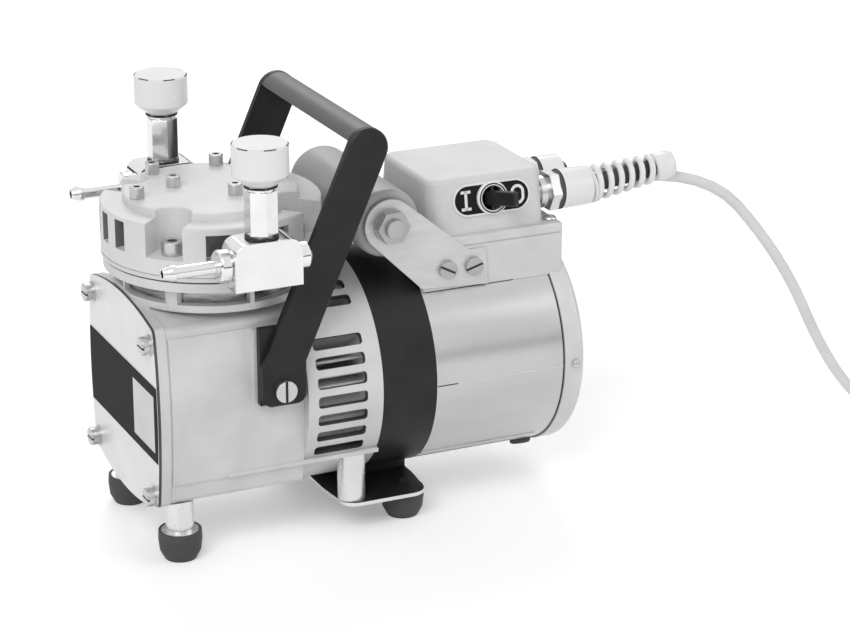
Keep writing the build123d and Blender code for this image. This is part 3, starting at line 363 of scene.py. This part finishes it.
# A flat ring from two outlines with as many points each
def flatRing(outer, inner, height):
    shape = bmesh.new()
    rings = []
    for loop, level in ((outer, 0), (outer, height), (inner, height), (inner, 0)):
        rings.append([shape.verts.new((x, y, level)) for x, y in loop])
    count = len(outer)
    for first, second in zip(rings, rings[1:] + rings[:1]):
        for step in range(count):
            after = (step + 1) % count
            shape.faces.new([first[step], first[after], second[after], second[step]])
    return shape


# Points of a long outline with round ends, or of a circle when both sides are equal
def roundEnded(length, width, steps=24):
    half, radius = (length - width) / 2, width / 2
    loop = []
    for side in (1, -1):
        for step in range(steps + 1):
            angle = math.pi * (step / steps - 0.5) + (0 if side > 0 else math.pi)
            loop.append((side * half + radius * math.cos(angle), radius * math.sin(angle)))
    return loop


# A Geometry Nodes group with named inputs
def newTree(name, inputs):
    tree = bpy.data.node_groups.new(name, "GeometryNodeTree")
    tree.interface.new_socket("Geometry", in_out="OUTPUT", socket_type="NodeSocketGeometry")
    for label, kind in inputs.items():
        tree.interface.new_socket(label, in_out="INPUT", socket_type="NodeSocket" + kind)
    return tree, tree.nodes.new("NodeGroupInput")


def closeTree(tree, given, geometry):
    realize = tree.nodes.new("GeometryNodeRealizeInstances")
    paint = tree.nodes.new("GeometryNodeSetMaterial")
    output = tree.nodes.new("NodeGroupOutput")
    tree.links.new(geometry, realize.inputs["Geometry"])
    tree.links.new(realize.outputs["Geometry"], paint.inputs["Geometry"])
    tree.links.new(given.outputs["Material"], paint.inputs["Material"])
    tree.links.new(paint.outputs["Geometry"], output.inputs[0])


# Runs a group on an empty object and returns the mesh
def runTree(tree, values):
    holder = addObject("holder", bpy.data.meshes.new("holder"))
    modifier = holder.modifiers.new("build", "NODES")
    modifier.node_group = tree
    for item in tree.interface.items_tree:
        if item.in_out == "INPUT":
            modifier[item.identifier] = values[item.name]
    holder.update_tag()
    ready = holder.evaluated_get(bpy.context.evaluated_depsgraph_get())
    mesh = bpy.data.meshes.new_from_object(ready)
    holder.modifiers.remove(modifier)
    bpy.data.objects.remove(holder)
    return mesh


# Copies of a shape in a full turn about one axis
def turnedCopies(tree, places, count, shape, axis):
    index = tree.nodes.new("GeometryNodeInputIndex")
    share = addMath(tree, "DIVIDE", index.outputs["Index"], count)
    angles = tree.nodes.new("ShaderNodeCombineXYZ")
    tree.links.new(addMath(tree, "MULTIPLY", share, 2 * math.pi), angles.inputs[axis])
    copies = tree.nodes.new("GeometryNodeInstanceOnPoints")
    tree.links.new(places.outputs["Points"], copies.inputs["Points"])
    tree.links.new(shape, copies.inputs["Instance"])
    tree.links.new(angles.outputs["Vector"], copies.inputs["Rotation"])
    return copies.outputs["Instances"]


# A round bar swept along a curve, with closed ends
def sweptBar(tree, curve, radius, resolution):
    profile = setInputs(tree.nodes.new("GeometryNodeCurvePrimitiveCircle"),
                        {"Resolution": resolution})
    tree.links.new(radius, profile.inputs["Radius"])
    bar = setInputs(tree.nodes.new("GeometryNodeCurveToMesh"), {"Fill Caps": True})
    tree.links.new(curve, bar.inputs["Curve"])
    tree.links.new(profile.outputs["Curve"], bar.inputs["Profile Curve"])
    return bar.outputs["Mesh"]


# Bend protector: a helical rib round a core darkened as painted shade, between two sleeves
protectorSettings = {"length": 0.059, "turns": 5.8, "start": 0.0025, "pitch": 0.0074,
                     "baseRadius": 0.0116, "tipRadius": 0.0085, "ribRadius": 0.0019,
                     "coreRadius": 0.0051, "bore": 0.0036, "tilt": 6.3, "tipSleeve": 0.013,
                     "coreWall": 0.0003}


def springTree():
    inputs = {"Turns": "Float", "Start Radius": "Float", "End Radius": "Float", "Height": "Float",
              "Rib Radius": "Float", "Material": "Material"}
    tree, given = newTree("springNodes", inputs)
    spiral = setInputs(tree.nodes.new("GeometryNodeCurveSpiral"), {"Resolution": 48})
    for label, socket in (("Turns", "Rotations"), ("Start Radius", "Start Radius"),
                          ("End Radius", "End Radius"), ("Height", "Height")):
        tree.links.new(given.outputs[label], spiral.inputs[socket])
    rib = sweptBar(tree, spiral.outputs["Curve"], given.outputs["Rib Radius"], 14)
    closeTree(tree, given, rib)
    return tree


def addProtector(values):
    low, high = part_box("gland_body")
    axisY, axisZ = (low[1] + high[1]) / 2, (low[2] + high[2]) / 2
    tilt = math.radians(values["tilt"])
    start = high[0] + (high[1] - low[1]) / 2 * math.sin(tilt)
    place = (Matrix.Translation((start, axisY, axisZ)) @ Matrix.Rotation(-tilt, 4, "Y")
             @ Matrix.Rotation(math.pi / 2, 4, "Y"))
    length, base, tip = values["length"], values["baseRadius"], values["tipRadius"]
    rib = values["ribRadius"]
    height = values["turns"] * values["pitch"]
    endRadius = base + (tip - base) * (values["start"] + height) / length
    mesh = runTree(springTree(), {
        "Turns": values["turns"], "Start Radius": base - rib, "End Radius": endRadius - rib,
        "Height": height, "Rib Radius": rib, "Material": finishes["whitePlastic"]})
    mesh.transform(place @ Matrix.Translation((0, 0, values["start"])))
    addPiece("bendSpring", mesh, "whitePlastic")
    sleeve = length - values["tipSleeve"]
    core = values["coreRadius"]
    outline = [(values["bore"], 0.0001), (base - 0.0006, 0.0001), (base, 0.0006), (base, 0.0014),
               (base - 0.0006, 0.002), (core, 0.002), (core, sleeve), (tip - 0.0002, sleeve),
               (tip + 0.0003, sleeve + 0.0006), (tip + 0.0001, length - 0.003),
               (tip - 0.0008, length - 0.001), (tip - 0.0025, length - 0.0001),
               (values["bore"], length - 0.0001)]
    body = meshFrom("bendSleeve", turned(outline))
    body.transform(place)
    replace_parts(addPiece("bendSleeve", body, "whitePlastic"), "bend_protector")
    # Dark core: painted shade in the gaps between the ribs
    wrap = meshFrom("bendCorePaintedShade", turned([
        (core, 0.0022), (core + values["coreWall"], 0.0022),
        (core + values["coreWall"], sleeve - 0.0002), (core, sleeve - 0.0002)]))
    wrap.transform(place)
    addPiece("bendCorePaintedShade", wrap, "rubber")


addProtector(protectorSettings)
print("bend protector done")


# Knob rims: short dark dashes
dashSettings = {"count": 6, "sweep": 26.0, "inset": 0.00045, "thickness": 0.00034, "phase": 17.0}


def dashTree():
    inputs = {"Count": "Int", "Radius": "Float", "Sweep": "Float", "Phase": "Float",
              "Thickness": "Float", "Material": "Material"}
    tree, given = newTree("dashNodes", inputs)
    arc = setInputs(tree.nodes.new("GeometryNodeCurveArc"), {"Resolution": 24})
    tree.links.new(given.outputs["Radius"], arc.inputs["Radius"])
    tree.links.new(given.outputs["Sweep"], arc.inputs["Sweep Angle"])
    tree.links.new(given.outputs["Phase"], arc.inputs["Start Angle"])
    dash = sweptBar(tree, arc.outputs["Curve"], given.outputs["Thickness"], 8)
    places = tree.nodes.new("GeometryNodePoints")
    tree.links.new(given.outputs["Count"], places.inputs["Count"])
    closeTree(tree, given, turnedCopies(tree, places, given.outputs["Count"], dash, "Z"))
    return tree


def addDashes(values):
    tree = dashTree()
    for side, body in (("near", "near_knob"), ("far", "far_knob")):
        low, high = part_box("knob_" + side)
        mesh = runTree(tree, {
            "Count": values["count"], "Radius": (high[0] - low[0]) / 2 - values["inset"],
            "Sweep": math.radians(values["sweep"]), "Phase": math.radians(values["phase"]),
            "Thickness": values["thickness"], "Material": finishes["blackPlastic"]})
        middle = ((low[0] + high[0]) / 2, (low[1] + high[1]) / 2, high[2] - values["inset"])
        mesh.transform(Matrix.Translation(middle))
        addPiece(side + "KnobDashes", mesh, "blackPlastic", body)


addDashes(dashSettings)
print("knob dashes done")


# Fan wheel, seen through the slots
fanSettings = {"blades": 26, "thickness": 0.0016, "rootRadius": 0.024, "tipGap": 0.0004,
               "frontGap": 0.0005, "backGap": 0.0015}


def fanTree():
    inputs = {"Blades": "Int", "Size": "Vector", "Middle": "Vector", "Material": "Material"}
    tree, given = newTree("fanNodes", inputs)
    blade = tree.nodes.new("GeometryNodeMeshCube")
    tree.links.new(given.outputs["Size"], blade.inputs["Size"])
    shift = tree.nodes.new("GeometryNodeTransform")
    tree.links.new(blade.outputs["Mesh"], shift.inputs["Geometry"])
    tree.links.new(given.outputs["Middle"], shift.inputs["Translation"])
    places = tree.nodes.new("GeometryNodePoints")
    tree.links.new(given.outputs["Blades"], places.inputs["Count"])
    closeTree(tree, given, turnedCopies(tree, places, given.outputs["Blades"],
                                        shift.outputs["Geometry"], "X"))
    return tree


def addFan(values):
    low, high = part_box("fan")
    tip = (high[2] - low[2]) / 2 - values["tipGap"]
    root = values["rootRadius"]
    front, back = low[0] + values["frontGap"], high[0] - values["backGap"]
    mesh = runTree(fanTree(), {
        "Blades": values["blades"], "Size": (back - front, values["thickness"], tip - root),
        "Middle": ((front + back) / 2, 0, (tip + root) / 2),
        "Material": finishes["whitePlastic"]})
    mesh.transform(Matrix.Translation((0, 0, shaftHeight)))
    addPiece("fanBlades", mesh, "whitePlastic", "rotating_parts", smooth=False)


addFan(fanSettings)
print("fan blades done")


# Switch face: black field, its marks and the bushing's groove
switchSettings = {"lean": 10.305, "field": (48.4, 17.0), "hole": (15.2, 15.1), "layer": 0.15,
                  "markHeight": 12.0, "markOffset": 17.0, "stroke": 1.8, "serif": 6.4,
                  "zeroWidth": 9.0, "groove": (8.2, 9.0), "grooveHeight": (2.4, 2.56),
                  "plateFace": 0.0005}


# Millimetres on the switch plate's face, optionally raised by some metres
def switchFrame(values, raised=0.0):
    lean = math.radians(values["lean"])
    outward = Vector((0, -math.cos(lean), math.sin(lean)))
    middle = Vector(middleOf("switch_plate"))
    return (Matrix.Translation(middle + outward * (values["plateFace"] + raised))
            @ Matrix.Rotation(math.pi / 2 - lean, 4, "X") @ fromMillimetres)


def addSwitchFace(values):
    layer = values["layer"]
    field = meshFrom("switchField", flatRing(roundEnded(*values["field"]),
                                             roundEnded(*values["hole"]), layer))
    field.transform(switchFrame(values))
    half, tall, stroke = values["serif"] / 2, values["markHeight"] / 2, values["stroke"]
    x = -values["markOffset"]
    bars = [((x - stroke / 2, -tall, layer), (x + stroke / 2, tall, 2 * layer)),
            ((x - half, tall - stroke, layer), (x + half, tall, 2 * layer)),
            ((x - half, -tall, layer), (x + half, stroke - tall, 2 * layer))]
    one = meshFrom("markOne", boxes(bars))
    one.transform(switchFrame(values))
    height, wide = values["markHeight"], values["zeroWidth"]
    zero = meshFrom("markZero", flatRing(
        roundEnded(height, wide), roundEnded(height - 2 * stroke, wide - 2 * stroke), layer))
    zero.transform(switchFrame(values, layer / 1000)
                   @ Matrix.Translation((values["markOffset"], 0, 0))
                   @ Matrix.Rotation(math.pi / 2, 4, "Z"))
    addPiece("switchField", field, "label", smooth=False)
    addPiece("markOne", one, "whitePlastic", smooth=False)
    addPiece("markZero", zero, "whitePlastic", smooth=False)
    inner, outer = values["groove"]
    low, high = values["grooveHeight"]
    groove = meshFrom("bushingGroove", turned([(inner, low), (outer, low), (outer, high),
                                               (inner, high)]))
    groove.transform(switchFrame(values))
    addPiece("bushingGroove", groove, "blackPlastic", smooth=False)


addSwitchFace(switchSettings)
print("switch face done")


# Rating plate's pale field on the label band
plateSettings = {"near": -55.5, "far": -19.5, "low": 71.8, "high": 106.4, "thickness": 0.15}


def addRatingField(values):
    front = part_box("label_band")[0][0]
    low = (front - values["thickness"] / 1000, values["near"] / 1000, values["low"] / 1000)
    high = (front, values["far"] / 1000, values["high"] / 1000)
    addPiece("ratingField", meshFrom("ratingField", boxes([(low, high)])), "shell", smooth=False)


addRatingField(plateSettings)


# Motor shell: joint ring, seam with a painted highlight and a painted shade gap, lower bead with a
# painted shade groove, and drain plug
shellSettings = {"radius": 67.5, "front": 35.2, "back": 118.6, "sink": 0.4,
                 "jointReach": (-0.2, 0.25), "jointSpan": (-0.1, 0.6),
                 "seamHeight": -1.0, "seamWidth": 0.45, "seamRaise": 0.12, "seamStart": 14,
                 "gapWidth": 0.6, "gapRaise": 0.1, "gapLength": 13,
                 "beadAngle": -51.0, "beadWidth": 3.2, "beadRaise": 0.35, "beadEnd": 7,
                 "grooveAngle": -59.0, "grooveWidth": 0.8, "grooveRaise": 0.12, "grooveEnd": 18,
                 "plugX": 112.5, "plugAngle": -71.0, "plugRadius": 6.5, "plugHeight": 3.0,
                 "plugRoot": -1.0, "plugEdge": 1.0}

# Millimetres from the stator band's front, on the shaft's line
shellPlace = Matrix.Translation((stator, 0, shaftHeight)) @ fromMillimetres


# A thin strip along the shell, at an angle up from its near side
def alongShell(name, values, kind, angle, finish, start, end):
    radius, half = values["radius"], values[kind + "Width"] / 2
    raised = values[kind + "Raise"]
    mesh = meshFrom(name, boxes([((start, -radius - raised, -half),
                                  (end, -radius + values["sink"], half))]))
    mesh.transform(shellPlace @ Matrix.Rotation(math.radians(-angle), 4, "X"))
    addPiece(name, mesh, finish, smooth=False)


def addShellTrim(values):
    radius, front, back = values["radius"], values["front"], values["back"]
    inner, outer = [radius + reach for reach in values["jointReach"]]
    first, last = [back + span for span in values["jointSpan"]]
    joint = meshFrom("shellJoint", turned([(inner, first), (outer, first), (outer, last),
                                           (inner, last)]))
    joint.transform(shellPlace @ Matrix.Rotation(math.pi / 2, 4, "Y"))
    addPiece("shellJoint", joint, "blackPlastic")
    seam = math.degrees(math.asin(values["seamHeight"] / radius))
    # White strip as a painted highlight along the shell's parting line
    alongShell("shellSeamHighlight", values, "seam", seam, "whitePlastic", front + values["seamStart"], back)
    # Black strip as painted shade in the seam's front groove
    alongShell("seamGapShade", values, "gap", seam, "blackPlastic", front, front + values["gapLength"])
    alongShell("shellBead", values, "bead", values["beadAngle"], "shell", front,
               back - values["beadEnd"])
    # Black strip as painted shade in the groove under the bead
    alongShell("beadGrooveShade", values, "groove", values["grooveAngle"], "blackPlastic", front,
               back - values["grooveEnd"])
    wide, tall, edge = values["plugRadius"], values["plugHeight"], values["plugEdge"]
    plug = meshFrom("drainPlug", turned([
        (0, values["plugRoot"]), (wide, values["plugRoot"]), (wide, tall - edge),
        (wide - edge, tall), (0, tall)], 48))
    outward = Matrix.Rotation(math.pi / 2 - math.radians(values["plugAngle"]), 4, "X")
    plug.transform(shellPlace @ Matrix.Translation((values["plugX"], 0, 0)) @ outward
                   @ Matrix.Translation((0, 0, radius)))
    addPiece("drainPlug", plug, "rubber")


addShellTrim(shellSettings)
print("shell trim done")


# Screw on the terminal base, behind the lid
baseScrewSettings = {"x": 124.4, "y": -35.0, "radius": 4.2, "height": 2.0, "sideShare": 0.5,
                     "topShare": 0.7}


def addBaseScrew(values):
    radius, height = values["radius"], values["height"]
    head = meshFrom("baseScrew", turned([
        (0, 0), (radius, 0), (radius, height * values["sideShare"]),
        (radius * values["topShare"], height), (0, height)], 48))
    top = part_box("terminal_base")[1][2]
    head.transform(Matrix.Translation((stator + values["x"] / 1000, values["y"] / 1000, top))
                   @ fromMillimetres)
    addPiece("baseScrew", head, "screw")


addBaseScrew(baseScrewSettings)


# Dark rings at both ends of the valve columns: painted dark reflections on the chrome
ringSettings = {"bore": 7.0, "radius": 9.7, "height": 0.9, "inset": 0.2}


def addColumnRings(values):
    bore, radius, height = values["bore"], values["radius"], values["height"]
    low, high = [corner[2] * 1000 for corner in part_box("valve_columns")]
    levels = {"Upper": high - height - values["inset"], "Lower": low + values["inset"]}
    for side in ("near", "far"):
        x, y, z = middleOf("knob_" + side)
        for label, bottom in levels.items():
            name = side + label + "Ring"
            ring = meshFrom(name, turned([(bore, bottom), (radius, bottom),
                                          (radius, bottom + height), (bore, bottom + height)], 64))
            ring.transform(Matrix.Translation((x, y, 0)) @ fromMillimetres)
            addPiece(name, ring, "blackPlastic")


addColumnRings(ringSettings)


# Black strip under the terminal base, on the near side: painted shade in the gap
baseGapShadeSettings = {"front": 37.0, "back": 95.0, "low": 140.1, "high": 140.8, "raise": 0.1,
               "sink": 0.3}


def addBaseGapShade(values):
    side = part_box("terminal_base")[0][1]
    low = (stator + values["front"] / 1000, side - values["raise"] / 1000, values["low"] / 1000)
    high = (stator + values["back"] / 1000, side + values["sink"] / 1000, values["high"] / 1000)
    addPiece("baseGapPaintedShade", meshFrom("baseGapPaintedShade", boxes([(low, high)])), "blackPlastic", smooth=False)


addBaseGapShade(baseGapShadeSettings)
print("rings and gap done")


# Second finishes on parts of the frame, by the place of each face
def paintFaces(name, finish, chosen):
    mesh = nodes[name].data
    mesh.materials.append(finishes[finish])
    number = len(mesh.materials) - 1
    for face in mesh.polygons:
        if chosen(face.center, face.normal):
            face.material_index = number


# Metres; the three first distances start at the terminal lid's end wall
paintSettings = {
    "glandRing": 0.0155, "capRing": (0.0126, 0.0150), "capTip": 0.0303, "canEnd": -0.0436,
    "neckRadius": 0.0535, "neckLow": 0.1535, "neckHigh": 0.1655,
    "slotLow": 0.1845, "slotHigh": 0.2013, "slotFloor": 0.0562, "slotBack": 0.0588,
    "slotMouth": 0.0642, "slotReach": 0.03, "flatY": 0.052, "flatSlack": 0.0008,
    "flatReach": 0.026, "fanMargin": 0.003, "fanInner": 0.060, "fanOuter": 0.0675}
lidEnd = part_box("terminal_lid")[1][0]
headX = middleOf("head_cover")[0]
fanLow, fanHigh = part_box("fan_housing")


# Walls between the ribs of the neck, for painted shade with streaks of painted reflection
def inNeckShadeFaces(place, normal):
    values = paintSettings
    away = math.hypot(place.x - headX, place.y)
    return (away < values["neckRadius"] and values["neckLow"] < place.z < values["neckHigh"]
            and abs(normal.z) < 0.5)


# Insides of the head cover's side slots, and its flats behind the valve blocks, for painted shade
def inHeadShadeFaces(place, normal):
    values = paintSettings
    across, away = place.x - headX, math.hypot(place.x - headX, place.y)
    radial = (across * normal.x + place.y * normal.y) / away
    slot = (values["slotFloor"] < away < values["slotMouth"]
            and abs(place.y) < values["slotReach"]
            and (radial < 0.5 or away < values["slotBack"]))
    flat = (abs(normal.y) > 0.95 and abs(across) < values["flatReach"]
            and abs(abs(place.y) - values["flatY"]) < values["flatSlack"])
    upright = abs(normal.z) < 0.3
    return values["slotLow"] < place.z < values["slotHigh"] and upright and (slot or flat)


# Walls of the fan housing's slots, painted dark as shade
def inFanSlotShade(place, normal):
    values = paintSettings
    y, z = place.y, place.z - shaftHeight
    away = math.hypot(y, z)
    radial = abs(normal.y * y + normal.z * z) / away
    margin = values["fanMargin"]
    return (fanLow[0] + margin < place.x < fanHigh[0] - margin and radial < 0.5
            and values["fanInner"] < away < values["fanOuter"])


def inCapRing(place, normal):
    first, last = paintSettings["capRing"]
    return lidEnd + first < place.x < lidEnd + last


# Slots in screw heads, in millimetres: node, axis, side, slot depth, head radius and the
# heads' middles
slottedScrews = [
    ("cover_screws", 0, -1, 1.2, 5.5, [(-51, 43.5), (51, 43.5), (-51, 136.5), (51, 136.5)]),
    ("handle_screws", 1, -1, 1.4, 6.5, [(-63.8, 104.3)]),
    ("handle_screws", 1, 1, 1.4, 6.5, [(-63.8, 104.3)]),
    ("bracket_screws", 1, -1, 1.1, 5.6, [(50.8, 153.8), (68.0, 153.8)]),
]


# Faces below a head's outer face, down to the slot's floor and well inside the head's rim, for
# painted shade in the slot
def slotTest(name, axis, side, depth, radius, middles):
    low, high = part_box(name)
    outer = low[axis] if side < 0 else high[axis]
    skin, share = 0.05, 0.82

    def test(place, normal):
        down = (place[axis] - outer) * -side * 1000
        if not skin < down < depth + skin:
            return False
        across = place.y if axis == 0 else place.x - stator
        away = min(math.hypot(across * 1000 - a, place.z * 1000 - b) for a, b in middles)
        return away < share * radius
    return test


paintFaces("gland_body", "rubber",
           lambda place, normal: place.x < lidEnd + paintSettings["glandRing"])
paintFaces("blanking_cap", "rubber", inCapRing)
paintFaces("blanking_cap", "blackPlastic",
           lambda place, normal: place.x > lidEnd + paintSettings["capTip"])
paintFaces("foot_plate", "machined", lambda place, normal: abs(normal.z) < 0.3)
# The neck's recess: painted shade and painted reflection
paintFaces("crankcase", "neck", inNeckShadeFaces)
paintFaces("capacitor", "darkSteel", lambda place, normal: place.y < paintSettings["canEnd"])
paintFaces("switch_plate", "whitePlastic", lambda place, normal: True)
# The front cover's edges: painted shade along its outline
paintFaces("front_cover", "paintedShade", lambda place, normal: abs(normal.x) < 0.3)
# Head cover slots and flats: painted shade
paintFaces("head_cover", "fluoroPaintedShade", inHeadShadeFaces)
paintFaces("fan_housing", "paintedShade", inFanSlotShade)
# Screw slots get painted shade
for screws in slottedScrews:
    paintFaces(screws[0], "paintedShade", slotTest(*screws))
print("second finishes done")


# One where the camera, a reflection or a view through glass meets the background
def seenRay(tree):
    path = tree.nodes.new("ShaderNodeLightPath")
    total = path.outputs["Is Camera Ray"]
    for name in ("Is Glossy Ray", "Is Transmission Ray"):
        total = addMath(tree, "MAXIMUM", total, path.outputs[name])
    return total


# A dark band round the studio, which only reflections show
horizonSettings = {"radius": 2.6, "low": 0.2, "high": 0.52, "thickness": 0.02, "tone": 0.01}


def addHorizon(values):
    inner, outer = values["radius"], values["radius"] + values["thickness"]
    low, high = values["low"], values["high"]
    mesh = meshFrom("horizon", turned([(inner, low), (inner, high), (outer, high), (outer, low)]))
    band = addObject("horizon", mesh)
    band.visible_camera = False
    band.visible_diffuse = False
    band.visible_shadow = False
    band.visible_transmission = False
    material, shader = newMaterial("horizon")
    setInputs(shader, {"Base Color": (*grey(values["tone"]), 1), "Roughness": 1.0,
                       "Specular IOR Level": 0.0})
    mesh.materials.append(material)


# Pale floor that glows a little more with distance, so that it ends in the background
floorSettings = {"half": 4, "tone": 0.93, "roughness": 0.9, "near": 0.6, "far": 3.5,
                 "nearGlow": 0.3, "farGlow": 0.8}


def addFloor(values):
    half = values["half"]
    mesh = bpy.data.meshes.new("floor")
    mesh.from_pydata([(-half, -half, 0), (half, -half, 0), (half, half, 0), (-half, half, 0)],
                     [], [(0, 1, 2, 3)])
    floor = addObject("floor", mesh)
    material, shader = newMaterial("floor")
    tree = material.node_tree
    setInputs(shader, {"Base Color": (*grey(values["tone"]), 1), "Roughness": values["roughness"],
                       "Emission Color": (1, 1, 1, 1)})
    coords = tree.nodes.new("ShaderNodeTexCoord")
    away = tree.nodes.new("ShaderNodeVectorMath")
    away.operation = "LENGTH"
    tree.links.new(coords.outputs["Object"], away.inputs[0])
    fade = setInputs(tree.nodes.new("ShaderNodeMapRange"), {
        "From Min": values["near"], "From Max": values["far"],
        "To Min": values["nearGlow"], "To Max": values["farGlow"]})
    tree.links.new(away.outputs["Value"], fade.inputs["Value"])
    glow = addMath(tree, "MULTIPLY", seenRay(tree), fade.outputs["Result"])
    tree.links.new(glow, shader.inputs["Emission Strength"])
    mesh.materials.append(material)


# White where it is seen, and dimmer as a light
worldSettings = {"seen": 1.0, "light": 0.35}


def addWorld(values):
    world = bpy.data.worlds.new("world")
    bpy.context.scene.world = world
    world.use_nodes = True
    tree = world.node_tree
    strength = setInputs(tree.nodes.new("ShaderNodeMapRange"),
                         {"To Min": values["light"], "To Max": values["seen"]})
    background = setInputs(tree.nodes["Background"], {"Color": (1, 1, 1, 1)})
    tree.links.new(seenRay(tree), strength.inputs["Value"])
    tree.links.new(strength.outputs["Result"], background.inputs["Strength"])


# Square lamps that look at the middle of the pump
lampAim = (0, 0, 0.12)
lampSettings = {
    "keyLamp": {"place": (-1.6, -1.6, 2.2), "power": 41, "size": 1.6},
    "fillLamp": {"place": (1.8, -1.2, 1.2), "power": 11, "size": 1.6},
    "backLamp": {"place": (0.6, 1.8, 2.0), "power": 21, "size": 1.4},
}


def addLamp(name, values):
    data = bpy.data.lights.new(name, "AREA")
    data.energy = values["power"]
    data.size = values["size"]
    lamp = addObject(name, data)
    lamp.location = values["place"]
    toAim = Vector(lampAim) - Vector(values["place"])
    lamp.rotation_euler = toAim.to_track_quat("-Z", "Y").to_euler()


addFloor(floorSettings)
addHorizon(horizonSettings)
addWorld(worldSettings)
for name, values in lampSettings.items():
    addLamp(name, values)
bpy.context.scene.view_settings.view_transform = "Standard"
print("stage lit")
